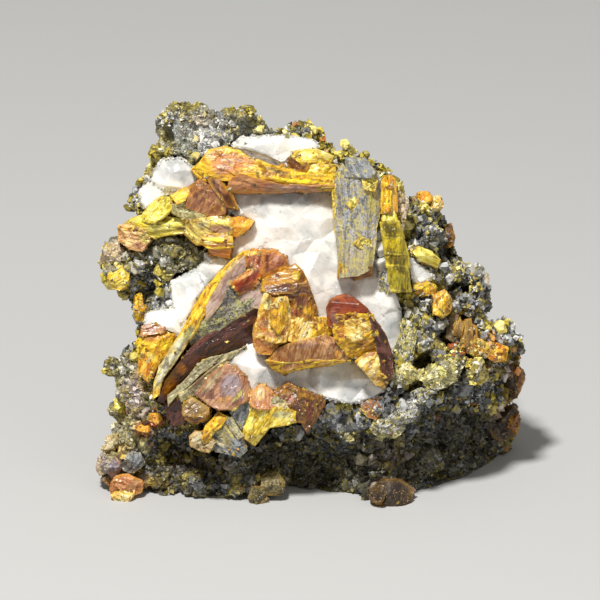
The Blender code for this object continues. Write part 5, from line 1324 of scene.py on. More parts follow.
# ---- Red-capped crystal ----
# The stoutest crystal, broken across at the top so that its dark red inside shows, with broken golden faces
# in front, a maroon side turned from the light and darkened partly as painted shade, and a lump of honey colour
# at its foot.
crimson = orpiment("crimson_break", (0.085, 0.007, 0.002), (0.21, 0.026, 0.004), (0.36, 0.065, 0.012), streaks=0.3,
    rim=(0.44, 0.14, 0.01), edging=0.5, gloss=0.3, glow=0.15, relief=0.4)
crystal("red_capped_faces", "red_capped_crystal", [
    sheet(crimson, [(2.9, 31.1), (3.4, 32.3), (4.4, 32.9), (5.6, 33), (7, 32.4), (8.9, 31), (9.7, 29.8), (7.9, 29.5),
        (4.6, 29.4), (3.9, 27.6), (3, 28.6)],
        [(5.5, 31, 12.4, 0.1, 0.1), (3.6, 30, 12.2, 0.9, 0.1), (8.4, 30.6, 12.2, -0.7, 0.1),
        (5.6, 32.3, 12.1, 0, -1.1)], floor=-2, run=0, layers=0.08,
        paint=[(6.6, 31.6, 2.0, 1.0, -20, (0.24, 0.032, 0.003)), (3.8, 29.8, 0.8, 1.6, 20, (0.26, 0.105, 0.07)),
        (5.4, 30.2, 1.4, 0.5, 0, (0.34, 0.07, 0.008))]),
    sheet(gold, [(4.4, 29.9), (7.9, 30), (9.8, 29.8), (10.6, 27.3), (11.1, 25.2), (10.4, 24), (8.6, 23.2),
        (6.2, 23.3), (5, 25), (4, 26.4), (3.7, 28)],
        [(6, 28.4, 12.4, 0.15, 0.1), (8.4, 26.5, 12.0, -0.35, 0.15), (6, 25, 11.6, -0.1, 0.55)], floor=-2, run=25,
        layers=0.45, paint=[(5.2, 27.4, 1.0, 1.6, 15, (0.42, 0.16, 0.015)),
        (8.8, 25.2, 1.4, 1.0, -50, (0.38, 0.17, 0.01)), (8.8, 28.8, 0.9, 0.7, 0, (0.86, 0.6, 0.04)),
        (6.2, 24.4, 1.2, 0.6, 20, (0.66, 0.36, 0.02))]),
    sheet(honey, [(5.8, 28.8), (8, 29.4), (9.4, 28), (9, 26.4), (7, 26), (5.6, 27)],
        [(7.4, 27.8, 12.6, -0.1, 0.05), (8.2, 27, 12.5, -0.5, 0.4)], floor=3, run=-20, layers=0.4),
    sheet(shaded_maroon, [(9.6, 30), (10.9, 28.4), (11.9, 26.4), (12.6, 24.4), (13.1, 22.4), (12.8, 20.4), (12.2, 19),
        (11.6, 21), (11.1, 24), (10.4, 27)],
        [(11.4, 25.5, 10.9, -1.1, -0.1)], floor=-2, run=-68, layers=0.15,
        paint=[(11.6, 25.4, 2.4, 0.35, -66, (0.15, 0.065, 0.05))]),
    sheet(honey, [(7.4, 22.6), (8.6, 23.6), (10.6, 23.8), (11.8, 22.3), (12.2, 20.2), (11.9, 18.6), (10.5, 19),
        (8.6, 21.2)],
        [(10, 21.8, 11.3, 0.1, -0.1), (11, 21.4, 11.2, -0.8, 0.1), (9.4, 20.8, 11, 0.3, 0.8)], floor=-2, run=50,
        layers=0.3, paint=[(11.0, 22.2, 0.7, 1.0, -60, (0.92, 0.72, 0.22)),
        (9.4, 21.6, 1.0, 0.5, 50, (0.6, 0.34, 0.02))]),
])

# ---- Left gold crystal ----
# A short crystal at the left edge, with sheets that spread from its foot under a brown crest.
crystal("left_gold_sheets", "left_gold_crystal", [
    sheet(gold, [(-27.8, 25.8), (-26.8, 27), (-23.4, 27.4), (-21.9, 26.6), (-21.6, 25.5), (-22.8, 24.1),
        (-24.4, 22.4), (-25.6, 20.6), (-26.2, 19.5), (-27.3, 20.6), (-27.6, 22.6)],
        [(-25, 24.5, 5, 0.3, 0.1), (-23.4, 25.4, 5.2, -0.4, 0.2), (-24.8, 26.4, 5, 0.2, -0.6)], floor=-4, run=62,
        layers=0.4, paint=[(-25.6, 26.4, 1.6, 0.8, 0, (0.48, 0.2, 0.03)),
        (-23.0, 25.2, 1.2, 1.0, 40, (0.88, 0.62, 0.03)), (-26.4, 23.4, 0.8, 1.4, 80, (0.6, 0.5, 0.12))]),
    sheet(rose_brown, [(-27.2, 26.8), (-27, 28), (-25.2, 28.5), (-23.4, 28), (-23.6, 27.2), (-25.4, 26.9)],
        [(-25.4, 27.6, 5.1, 0.1, -0.3)], floor=-4, run=5, layers=0.2),
    sheet(tangerine, [(-27.5, 22.4), (-26.8, 23.8), (-26, 22.2), (-25.6, 20.4), (-26.4, 19.6), (-27.2, 20.6)],
        [(-26.6, 21.6, 4.4, 0.2, 0.2)], floor=-4, run=80, layers=0.3),
])

# ---- Mauve crystal ----
# A smooth mauve cleavage face with a salmon rim, under the foot of the diagonal blade.
mauve = orpiment("mauve_orpiment", (0.24, 0.12, 0.1), (0.38, 0.22, 0.19), (0.56, 0.38, 0.35), streaks=0.4,
    rim=(0.52, 0.26, 0.12), gloss=0.16)
rose_salmon = orpiment("rose_salmon", (0.17, 0.065, 0.04), (0.35, 0.155, 0.09), (0.56, 0.33, 0.19), streaks=0.7,
    rim=(0.55, 0.27, 0.06), flush=(0.33, 0.22, 0.2), gloss=0.2)
crystal("mauve_crystal_faces", "mauve_crystal", [
    sheet(rose_salmon, [(-18, 17.2), (-16.2, 19.8), (-13.4, 22), (-11.8, 21.4), (-10.5, 20), (-9.8, 18), (-9.7, 16.6),
        (-12.6, 15.2), (-14.6, 15), (-16.2, 15.6)],
        [(-13, 18.5, 8.9, 0.2, -0.1), (-11, 19, 8.9, -0.6, -0.3)], floor=-3, run=50, layers=0.14,
        flush=[(-12.6, 18.2, 1.9, 2.0)], paint=[(-12.9, 18.9, 1.8, 1.5, 30, (0.27, 0.205, 0.205)),
        (-11.6, 17.0, 1.4, 0.35, 50, (0.58, 0.5, 0.12)), (-15.8, 19.2, 2.4, 0.7, 50, (0.42, 0.31, 0.17)),
        (-10.6, 19.8, 1.2, 0.5, -60, (0.38, 0.15, 0.07)), (-13.8, 16.4, 1.4, 0.5, 10, (0.42, 0.2, 0.06))]),
    sheet(slate_blue, [(-13, 15.8), (-11.2, 16.8), (-9.9, 16.6), (-10.2, 13.8), (-11, 11.9), (-12.2, 13.6)],
        [(-11.4, 14.8, 8.3, 0.1, 0.2)], floor=-3, run=70, layers=0.3),
    sheet(lemon, [(-12.9, 15.3), (-12.2, 16.5), (-10.8, 17.2), (-11, 16.2), (-12.2, 14.9)],
        [(-11.8, 16, 9.3, 0.1, -0.1)], floor=2, run=50),
])

# ---- Small brown block ----
# A little dark block, tan on its right face, with cream edges. Its maroon left part is painted shade in the
# recess there.
tan = orpiment("tan_orpiment", (0.14, 0.068, 0.017), (0.25, 0.14, 0.04), (0.42, 0.28, 0.095), streaks=0.8)
crystal("small_brown_faces", "small_brown_block", [
    sheet(shaded_maroon, [(-23.2, 15.4), (-21.6, 16.5), (-20.2, 15.8), (-19.8, 14.2), (-20.6, 12.6), (-22, 12.3),
        (-22.9, 13.6)],
        [(-21.4, 14.4, 5.3, 0.5, 0.2), (-20.6, 15.4, 5.6, 0.1, 0.5)], floor=-3, run=60, layers=0.2),
    sheet(tan, [(-20.4, 15.4), (-19.2, 16.6), (-16.4, 15.1), (-16.6, 14.4), (-18.2, 13.9), (-20.2, 14)],
        [(-18.2, 15.2, 7.8, 0.1, -0.2)], floor=-1, run=30, layers=0.2),
    sheet(chestnut, [(-20.2, 14.2), (-18.2, 14.3), (-16.4, 14.5), (-16.6, 13.6), (-18.8, 12.7), (-20, 13.4)],
        [(-18.2, 14, 7.5, 0, 0.7)], floor=-1, run=10, layers=0.15),
])

# ---- Boot crystal ----
# A crystal shaped like a boot: salmon on its upper face, pale yellow below, with a square lower end.
crystal("boot_crystal_faces", "boot_crystal", [
    sheet(bright, [(-10.6, 10.4), (-10.5, 12), (-9.6, 14.4), (-9.5, 16), (-8.6, 15.4), (-6.6, 14.8), (-4.2, 15.2),
        (-2.5, 14.4), (-2.5, 12.9), (-6.6, 12), (-7.8, 10.5), (-8.9, 9.3)],
        [(-7.5, 13.5, 8.8, 0.05, 0.25), (-9.4, 12, 8.4, 0.7, 0.1), (-7.6, 11.4, 8.4, -0.2, 0.9)], floor=-3, run=65,
        layers=0.28, paint=[(-4.4, 14.0, 1.8, 0.7, 0, (0.56, 0.5, 0.22)),
        (-9.6, 10.4, 0.8, 0.8, 0, (0.52, 0.34, 0.01)), (-9.8, 12.6, 0.6, 1.2, 0, (0.92, 0.84, 0.16))]),
    sheet(salmon, [(-9.4, 15.6), (-9.3, 17.5), (-7.9, 18.7), (-6.2, 17.6), (-4.6, 16.2), (-6.4, 14.9), (-8.4, 15.1)],
        [(-7.2, 16.6, 9.1, -0.2, -0.3)], floor=-3, run=70, layers=0.12,
        paint=[(-7.9, 17.2, 0.9, 1.2, 0, (0.8, 0.56, 0.24))]),
    sheet(pale, [(-6.8, 14.9), (-5.6, 16.6), (-4, 15.8), (-2.5, 14.4), (-2.7, 13.2), (-5, 13.8)],
        [(-4.6, 14.8, 8.9, -0.1, 0.1)], floor=-3, run=-20, layers=0.15,
        paint=[(-4.6, 14.8, 2.0, 1.2, 0, (0.62, 0.5, 0.28))]),
])

# ---- Lower brown crystal ----
# A deep amber crystal with upright stripes that hangs over the ledge. Its colours are darkened further as
# painted shade.
shaded_deep_amber = orpiment("shaded_deep_amber", (0.035, 0.01, 0.003), (0.13, 0.044, 0.006), (0.3, 0.14, 0.015), streaks=0.9,
    rim=(0.42, 0.16, 0.01), streak_size=3.2)
crystal("lower_brown_sheets", "lower_brown_crystal", [
    sheet(shaded_deep_amber, [(-5.5, 17.8), (-3.6, 18.8), (-1.6, 17.9), (-0.6, 15), (-0.9, 12.6), (-2.2, 13), (-2.4, 14.5),
        (-4, 16)],
        [(-2.6, 16.2, 8.9, 0.1, -0.25), (-2, 15, 8.8, 0, 0.4)], floor=-3, run=60, layers=0.25,
        paint=[(-4.0, 17.6, 1.4, 0.6, -10, (0.36, 0.16, 0.012)), (-3.2, 16.6, 0.6, 0.6, 0, (0.28, 0.035, 0.004)),
        (-2.0, 15.6, 1.0, 0.8, 70, (0.15, 0.055, 0.03))]),
    sheet(shaded_deep_amber, [(-2, 18), (1.8, 16.7), (2.2, 15.8), (1, 13.5), (-0.4, 11.4), (-1, 12.4), (-1.2, 15)],
        [(0, 15.5, 8.6, -0.25, 0.0), (0, 14, 8.5, -0.1, 0.6)], floor=-3, run=82, layers=0.25,
        paint=[(-0.3, 14.8, 0.5, 2.0, 6, (0.16, 0.022, 0.008)), (-0.4, 16.9, 1.6, 0.4, -18, (0.4, 0.19, 0.012)),
        (1.4, 14.6, 0.3, 1.6, 10, (0.06, 0.024, 0.006))]),
])

# ---- Gold hook crystal ----
# A curved golden blade over a blue-grey plate, with a cream broken end at the left.
cream = orpiment("cream_orpiment", (0.24, 0.16, 0.065), (0.48, 0.37, 0.19), (0.76, 0.68, 0.45), streaks=0.8,
    gloss=0.28)
crystal("gold_hook_sheets", "gold_hook_crystal", [
    sheet(slate_blue, [(-15.9, 11.2), (-14.4, 12.4), (-12.9, 13.2), (-11.9, 12), (-10.7, 9.4), (-10.4, 8.2),
        (-11.4, 7.4), (-13.1, 7.9), (-15, 8.2), (-15.8, 9.4)],
        [(-13, 10.4, 7.0, 0.1, 0.3)], floor=-4, run=-55, layers=0.35,
        paint=[(-14.2, 10.6, 2.6, 0.9, -55, (0.34, 0.29, 0.13)), (-13.3, 11.6, 2.0, 0.3, -55, (0.66, 0.54, 0.16)),
        (-14.9, 9.4, 1.4, 0.35, -30, (0.62, 0.54, 0.3))]),
    sheet(gold, [(-17.2, 10.3), (-16.6, 12.1), (-15.5, 13.3), (-14.7, 14.1), (-13.7, 13.5), (-14.5, 12.1),
        (-15.7, 11.4), (-16.4, 10), (-17, 9.4)],
        [(-15.5, 12, 7.9, 0.3, -0.3), (-15.2, 11.8, 7.9, -0.4, 0.5)], floor=-2, run=50, layers=0.25),
    sheet(cream, [(-19.3, 10.4), (-18.4, 11.2), (-16.9, 10.8), (-15.4, 9.6), (-16.4, 8), (-17.6, 8.2), (-19, 9)],
        [(-17.4, 9.8, 7.2, 0.1, 0.1), (-18.4, 10, 7, 0.6, 0)], floor=-4, run=20, layers=0.35),
    sheet(pale, [(-13.6, 13.6), (-12.6, 13.4), (-11, 10.6), (-11.6, 10.2), (-13, 12.2)],
        [(-12.4, 12, 7.7, 0.3, 0.2)], floor=-1, run=-58),
])

# ---- Right-hand crystals ----
# Small crystals in the ore on the right: a thin pale blade, a yellow and a fibrous brown crystal, and a
# crumbly orange crust.
crystal("right_pale_sheets", "right_pale_blade", [
    sheet(lemon, [(16.7, 40.2), (17.6, 40.9), (19.4, 40.2), (20.8, 38.8), (20.5, 37.9), (17.6, 39)],
        [(18.6, 39.6, 4.0, -0.1, -0.4), (18.6, 39.4, 3.9, -0.1, 0.6)], floor=-5, run=-30, layers=0.15),
])
crystal("right_yellow_sheets", "right_yellow_crystal", [
    sheet(gold, [(20.3, 30.4), (20.1, 33), (21.6, 33.8), (22.7, 32.4), (22.5, 30.3), (21.4, 29.8)],
        [(21.2, 32, 4, 0.1, -0.3), (21.8, 31, 3.8, -0.7, 0.2)], floor=-5, run=80, layers=0.3),
])
crystal("right_fibre_sheets", "right_fibre_crystal", [
    sheet(umber, [(22.2, 26.4), (22.4, 29.6), (23.2, 30.3), (23.9, 29.8), (23.8, 26.6), (23.1, 25.8)],
        [(23, 28, 1.3, 0.2, -0.1)], floor=-8, run=80, layers=0.3),
    sheet(tan, [(23.4, 26.8), (23.5, 28.6), (24.1, 29), (24.6, 28.4), (24.5, 26.6)],
        [(24, 27.6, 2.0, -0.3, -0.1), (24.3, 27.2, 1.8, -0.2, 0.5)], floor=-8, run=80, layers=0.3),
    sheet(tan, [(24.6, 25.6), (24.7, 28.4), (25.1, 28.7), (25.3, 25.2)],
        [(25, 27, 1.4, 0.3, -0.05)], floor=-8, run=85, layers=0.3),
    sheet(tan, [(25.3, 25), (25.4, 28.9), (25.9, 29.1), (26.1, 25.2)],
        [(25.8, 27, 1.9, -0.4, -0.05)], floor=-8, run=85, layers=0.3),
    sheet(chestnut, [(26, 25.2), (26.1, 28.2), (26.8, 27.9), (27, 25.8)],
        [(26.4, 27, 1.2, -0.2, -0.1)], floor=-8, run=80, layers=0.3),
])
crystal("right_orange_crust", "right_orange_crystal", [
    sheet(honey, [(24.8, 24.6), (25.2, 25.8), (27, 26), (28.6, 25.2), (28.4, 23.8), (26.4, 23.6)],
        [(26.8, 25, 1.6, -0.2, -0.3), (26.8, 24.2, 1.4, -0.2, 0.6)], floor=-10, run=20, layers=0.6,
        flakes=(1.0, 0.8)),
    sheet(tangerine, [(28, 24), (28.4, 25.2), (30, 25.2), (31.8, 24.6), (31.6, 22.8), (30, 22.7)],
        [(30, 24.4, 0.5, -0.5, -0.3), (30, 23.4, 0.3, -0.5, 0.6)], floor=-10, run=20, layers=0.6, flakes=(1.0, 0.8),
        paint=[(29.2, 24.2, 1.4, 0.8, 0, (0.92, 0.56, 0.12)), (29.2, 25.0, 1.2, 0.5, 0, (0.66, 0.44, 0.28)),
        (30.8, 24.2, 0.8, 0.6, 0, (0.9, 0.48, 0.04))]),
])

# ---- Plates and lumps in the ore ----
# Flat plates of fine-grained ore that jut from the ledge on the lower right, crusted with pale yellow grains,
# and rounded lumps of amber, orange, lilac and cream orpiment that the rock is studded with round its rim. The
# nearly black brown lumps at the foot and on the right side are painted shade.
pale_crust = orpiment("pale_yellow_crust", (0.28, 0.25, 0.12), (0.66, 0.6, 0.28), (0.9, 0.88, 0.6), streaks=0.1,
    rim=(0.6, 0.5, 0.1), edging=0.0, dust=0.3, dust_colour=(0.58, 0.5, 0.1), gloss=0.36, glow=0.0, relief=1.0,
    speckle=0.75, grain=2800.0)
grey_crust = orpiment("grey_plate_crust", (0.09, 0.09, 0.085), (0.29, 0.29, 0.28), (0.62, 0.62, 0.6), streaks=0.1,
    edging=0.0, dust=0.35, dust_colour=(0.5, 0.44, 0.12), gloss=0.3, glow=0.0, relief=1.0, speckle=0.65, grain=2800.0)
crystal("ledge_plates", None, [
    sheet(pale_crust, [(12.3, 19.2), (13.4, 21.6), (15.2, 22.4), (16.9, 21.6), (17.2, 20.4), (15.6, 18.9),
        (13.6, 18)],
        [(14.8, 20.2, 8.5, 0.1, -0.1), (14.6, 18.9, 8.2, -0.1, 0.9)], floor=3, run=40, layers=0.2),
    sheet(pale_crust, [(17.2, 19.8), (19.4, 20.7), (20.8, 21.9), (22, 23.2), (23.6, 23.6), (24.4, 22), (23.9, 20.2),
        (21.8, 18.7), (19.8, 18.6), (18.2, 19.2)],
        [(21, 21, 8.2, -0.1, -0.1), (21, 19.4, 8, 0, 0.9), (23.6, 21.6, 7.4, -0.8, 0)], floor=2, run=30, layers=0.25),
    sheet(grey_crust, [(12, 13.4), (13.4, 15), (15.4, 16), (17.4, 15.8), (17.6, 14.4), (15.6, 12.8), (13.4, 12)],
        [(15, 14.4, 7.9, 0, -0.15), (15, 13, 7.6, 0, 1.0)], floor=3, run=40, layers=0.14),
    sheet(grey_crust, [(14.4, 16.6), (16.6, 17.5), (19.4, 18.3), (20.4, 17.6), (18.4, 16.4), (16.4, 15.9)],
        [(17.4, 17.2, 7.7, 0, -0.2)], floor=2, run=25, layers=0.12),
    sheet(pale_crust, [(9.6, 11.8), (10.6, 13.2), (12.4, 12.9), (14.6, 12.8), (15.4, 11.8), (13.6, 10.5),
        (11.2, 10.2)],
        [(12.4, 12, 7.6, 0, -0.1), (12.4, 11, 7.5, 0, 1.0)], floor=2, run=10, layers=0.14),
    sheet(grey_crust, [(10.6, 11.2), (11.4, 12.6), (13.8, 12.4), (14.2, 11.4), (12.8, 10.9)],
        [(12.4, 12, 7.9, 0, -0.1)], floor=3, run=10, layers=0.1),
    sheet(rose_brown, [(7.9, 16.3), (9.2, 18), (10.6, 17.4), (11.6, 15.2), (10.8, 13.4), (9.2, 13.6)],
        [(9.8, 16, 7.2, 0.1, 0.1)], floor=1, run=70, layers=0.2),
])
cream_pink = orpiment("cream_pink", (0.3, 0.2, 0.12), (0.52, 0.4, 0.29), (0.76, 0.68, 0.52), streaks=0.3, edging=0.0,
    speckle=0.4, grain=2600.0, dust=0.2, dust_colour=(0.55, 0.45, 0.12))
grey_gold_crust = orpiment("grey_gold_crust", (0.09, 0.085, 0.05), (0.3, 0.28, 0.15), (0.66, 0.64, 0.44), streaks=0.1,
    edging=0.0, dust=0.45, dust_colour=(0.56, 0.46, 0.06), gloss=0.34, glow=0.0, relief=1.0, speckle=0.7,
    grain=2600.0)
# painted shade: nearly black brown for the lumps at the foot and on the shaded right side
shaded_dusky_brown = orpiment("shaded_dusky_brown", (0.009, 0.005, 0.002), (0.034, 0.017, 0.006), (0.095, 0.052, 0.018),
    streaks=0.5, edging=0.2, speckle=0.2, grain=2600.0, gloss=0.3, glow=0.0)
mossy_brown = orpiment("mossy_brown", (0.045, 0.035, 0.012), (0.13, 0.1, 0.035), (0.3, 0.24, 0.09), streaks=0.3,
    edging=0.2, speckle=0.4, grain=2600.0, gloss=0.3, glow=0.0)
crystal("amber_lumps", None, [
    sheet(grey_gold_crust, [(13.4, 21.8), (13.9, 24.4), (14.6, 26.8), (15.4, 29.2), (16.6, 29.4), (16.8, 26.6),
        (16.2, 24), (15.2, 21.9)],
        [(15, 25.5, 6.5, 0.15, 0.05), (15.6, 25.5, 6.4, -0.5, 0)], floor=-1, run=70, layers=0.4),
    sheet(cream_pink, [(13.7, 43.8), (13.9, 49.4), (14.6, 49.9), (15.3, 48.6), (15.2, 45.6), (14.6, 43.4)],
        [(14.4, 47, 5.7, -0.2, -0.05)], floor=-2, run=85, layers=0.4, flakes=(1.4, 0.7)),
    sheet(grey_crust, [(10.5, 42.6), (11.3, 43.2), (12, 40), (12.7, 36.5), (13.2, 33.4), (12.2, 32.6), (10.9, 33.6),
        (10.6, 36.5)],
        [(11.6, 38, 5.9, -0.1, -0.02)], floor=-2, run=85, layers=0.3, flakes=(1.6, 0.5)),
    sheet(tangerine, [(10.6, 44), (10.9, 46.4), (11.7, 46.8), (11.9, 44.6), (11.3, 43.7)],
        [(11.3, 45.4, 6.1, 0, 0)], floor=-2, run=85, layers=0.3),
    sheet(shaded_dusky_brown, [(31.4, 16.6), (31.6, 20.5), (33, 22.3), (34.7, 21.4), (35, 19.4), (34.2, 17.4), (33, 16)],
        [(33, 19.5, -11.5, -0.3, -0.05), (34, 19, -12, -1.2, 0)], floor=-19, run=80, layers=0.2, flakes=(2.5, 1.5)),
    sheet(chestnut, [(33.4, 17), (33.9, 20), (34.6, 21), (35, 19.4), (34.3, 17.4)],
        [(34.4, 19, -11.6, -0.6, 0)], floor=-19, run=80, layers=0.2),
    sheet(shaded_dusky_brown, [(29.2, 11.5), (30, 14.4), (31.6, 15.6), (33.4, 14.6), (34.4, 12), (33.4, 10), (31, 9.4)],
        [(32, 12.5, -13.6, -0.3, -0.1), (33.5, 12, -14.2, -1.2, 0), (31, 10.4, -14.4, 0, 0.8)], floor=-21, run=120,
        layers=0.25, flakes=(2.5, 1.5)),
    sheet(amber, [(32.6, 12.4), (33.2, 14.4), (34.1, 13.2), (34.4, 12), (33.7, 10.4), (33, 10.6)],
        [(33.6, 12.4, -13.6, -0.5, 0)], floor=-20, run=110, layers=0.25),
    sheet(shaded_dusky_brown, [(9.8, 0), (10.2, 2), (11.6, 3.4), (14, 3.2), (16, 2), (16.8, 0.4), (15.6, -1), (12, -1)],
        [(12.6, 1.6, 4.6, 0.25, -0.1), (14.4, 1.4, 4.4, -0.4, 0), (12.5, 0.3, 4.2, 0, 0.6)], floor=0, run=70,
        layers=0.25, flakes=(2.5, 1.5)),
    sheet(shaded_dusky_brown, [(9.9, 0), (10.3, 1.8), (11.4, 2.6), (12, 1.2), (11.2, -0.8)],
        [(11, 1, 4.7, 0.5, 0)], floor=0, run=70, layers=0.25),
    sheet(tangerine, [(17.4, 48.4), (17.6, 49.8), (18.8, 50), (19.8, 49), (19.2, 47.9)],
        [(18.6, 49, -3.9, 0, -0.1)], floor=-9, run=30, layers=0.3),
    sheet(honey, [(19.5, 47.6), (19.8, 49.2), (20.8, 49), (21.5, 48), (21, 46.9)],
        [(20.4, 48.2, -4.6, -0.2, -0.1)], floor=-10, run=60, layers=0.3),
    sheet(chestnut, [(22, 41.2), (22.2, 44.2), (22.9, 44.6), (23.5, 42.6), (23.4, 41)],
        [(22.8, 43, -8.6, -0.5, 0)], floor=-16, run=80, layers=0.2),
    sheet(gold, [(16.4, 33.6), (17, 35), (18.6, 35.4), (20.3, 34.6), (20, 33.4), (18, 32.8)],
        [(18.2, 34.4, 4.3, 0, -0.2), (18.2, 33.6, 4, 0, 0.6)], floor=-3, run=10, layers=0.3),
    sheet(cream_pink, [(25.6, 35.2), (26, 37.6), (27.8, 38), (29, 36.6), (28.6, 34.4), (27, 34.2)],
        [(27.4, 36.4, -6.4, -0.2, -0.1)], floor=-15, run=50, layers=0.35),
    sheet(pale_crust, [(30.5, 25.6), (30.7, 28.2), (32.2, 28.6), (33.6, 26.8), (33.5, 24.8), (31.8, 24.2)],
        [(32.2, 26.6, -7.4, -0.3, -0.1)], floor=-18, run=50, layers=0.35),
])
crystal("left_lobe_lumps", None, [
    sheet(bright, [(-32.9, 35.2), (-32.4, 37.2), (-30.8, 37.8), (-29.4, 36.6), (-29.3, 34.8), (-31, 34.1)],
        [(-31, 36.2, 3.6, 0.2, -0.2), (-30.2, 35.2, 3.4, -0.3, 0.4)], floor=-2, run=40, layers=0.4),
    sheet(cream_pink, [(-34, 38.4), (-33, 41.4), (-31.4, 42), (-30.6, 40.4), (-31.6, 38), (-33.2, 36.8)],
        [(-32.6, 39.6, 2.0, 0.3, -0.2)], floor=-5, run=60, layers=0.3),
    sheet(gold, [(-28.6, 30), (-28.3, 33.4), (-27.4, 33.4), (-26.6, 31), (-26.4, 29.4), (-27.4, 28.8)],
        [(-27.6, 31.4, 0.6, 0.2, -0.1)], floor=-6, run=85, layers=0.3),
    sheet(olive, [(-31.9, 20.4), (-31.8, 22.2), (-30.6, 23), (-29.6, 22.2), (-29.6, 20.4), (-30.8, 19.8)],
        [(-30.8, 21.4, -3.6, 0.3, -0.2)], floor=-9, run=50, layers=0.3),
    sheet(cream_pink, [(-28.9, 19.2), (-28.4, 21), (-27.1, 21), (-26.7, 19.6), (-27.6, 18.8)],
        [(-27.8, 20, -0.9, 0, -0.2)], floor=-6, run=20, layers=0.2),
    sheet(honey, [(-29.5, 17.4), (-29, 18.9), (-27.7, 19), (-27.1, 17.8), (-28.2, 16.9)],
        [(-28.3, 18, -1.0, 0, -0.2)], floor=-6, run=20, layers=0.25),
    sheet(pale, [(-30.7, 18.8), (-30.4, 20), (-29.5, 20.3), (-29.1, 19.2), (-29.8, 18.5)],
        [(-29.9, 19.4, -2.0, 0, -0.2)], floor=-7, run=20, layers=0.25),
    sheet(lemon, [(-31.7, 14.4), (-31.8, 16.4), (-30.6, 17), (-29.8, 15.4), (-30.4, 14)],
        [(-30.8, 15.6, -3.4, 0.2, -0.2)], floor=-9, run=70, layers=0.3),
    sheet(mauve, [(-29.8, 13.6), (-29.6, 15.6), (-28, 16.2), (-27, 14.8), (-27.6, 13.4)],
        [(-28.4, 14.8, -0.8, 0.1, -0.1)], floor=-7, run=50, layers=0.25),
    sheet(tangerine, [(-26.1, 13), (-25.7, 14.3), (-24.5, 14.2), (-24, 13), (-25, 12.4)],
        [(-25, 13.4, 4.1, 0, -0.1)], floor=-2, run=50, layers=0.4),
    sheet(tangerine, [(-27.8, 11.3), (-27.2, 12.4), (-26, 12.2), (-25.8, 11.2), (-26.8, 10.7)],
        [(-26.8, 11.6, 2.9, 0, -0.1)], floor=-3, run=50, layers=0.4),
    sheet(cream, [(-33.6, 8.2), (-33, 10), (-31.8, 10.5), (-31.4, 9), (-32.4, 7.6)],
        [(-32.5, 9.2, -3.0, 0.3, -0.1)], floor=-9, run=50, layers=0.3),
    sheet(honey, [(-31.2, 7), (-30.7, 8.6), (-29, 8.6), (-28.6, 7.6), (-29.6, 6.8)],
        [(-30, 7.8, -0.9, 0, -0.2)], floor=-7, run=30, layers=0.3),
    sheet(cream_pink, [(-34.8, 4.6), (-34.6, 6.6), (-33.4, 7.4), (-32.4, 5.6), (-33, 3.8)],
        [(-33.6, 5.8, -1.5, 0.4, -0.1)], floor=-9, run=60, layers=0.25),
    sheet(mauve, [(-32.9, 3.9), (-32.7, 6), (-31.4, 6.6), (-30.8, 5), (-31.4, 3.6)],
        [(-31.9, 5.2, -0.2, 0.2, 0)], floor=-7, run=70, layers=0.2),
    sheet(slate_blue, [(-30.5, 5.6), (-29.6, 7.5), (-27.8, 7.4), (-26.9, 5.8), (-28, 4.6), (-29.8, 4.6)],
        [(-28.8, 6.4, 0.6, 0.1, -0.1), (-28.6, 5.4, 0.5, 0, 0.7)], floor=-7, run=60, layers=0.4),
    sheet(salmon, [(-32.4, 1.4), (-31.8, 3.6), (-29.4, 4), (-27.4, 3), (-27.6, 1.6), (-30, 0)],
        [(-30, 2.6, 1.7, 0.1, -0.1), (-29.6, 1.6, 1.5, 0, 0.7)], floor=-4, run=-20, layers=0.35),
    sheet(honey, [(-32, 0.8), (-30.8, 1.8), (-28.8, 1.6), (-28.8, 0.2), (-30.6, -0.4)],
        [(-30.2, 1, 1.9, 0.1, 0.1)], floor=-3, run=-20, layers=0.3),
    sheet(mossy_brown, [(-8.2, 1.8), (-7.4, 4.2), (-5.2, 4.6), (-4, 3), (-4.6, 1.2), (-6.6, 0.6)],
        [(-6, 3, 2.9, 0.1, -0.1), (-6, 1.8, 2.6, 0, 0.6)], floor=-3, run=40, layers=0.3),
    sheet(mossy_brown, [(-10.2, 0.4), (-9.4, 2), (-7.8, 2), (-7, 0.2), (-8.2, -0.8)],
        [(-8.6, 1, 3.3, 0.1, 0)], floor=-3, run=60, layers=0.3),
])

# ---- Calcite blocks ----
# Cleavage blocks of calcite that stand a little proud of the masses they broke from, all turned the same
# way, because each mass is one crystal.
def block_shape(dice):
    """A rhombic block about 1 mm across, its edges along the cleavage lattice and slightly worn."""
    bm = bmesh.new()
    bmesh.ops.create_cube(bm, size=1.0)
    sizes = dice.uniform(0.6, 1.3, 3)
    for vert in bm.verts:
        vert.co = Vector(LATTICE.T @ (np.array(vert.co) * sizes))
    bmesh.ops.recalc_face_normals(bm, faces=bm.faces[:])
    bmesh.ops.bevel(bm, geom=bm.edges[:], offset=0.05, segments=1, affect="EDGES", profile=0.5, material=-1)
    bmesh.ops.triangulate(bm, faces=bm.faces[:])
    return taken(bm)


def taken(bm):
    """A bmesh's corners and triangles as arrays."""
    bm.verts.index_update()
    corners = np.array([vert.co for vert in bm.verts])
    faces = np.array([[vert.index for vert in face.verts] for face in bm.faces])
    bm.free()
    return corners, faces


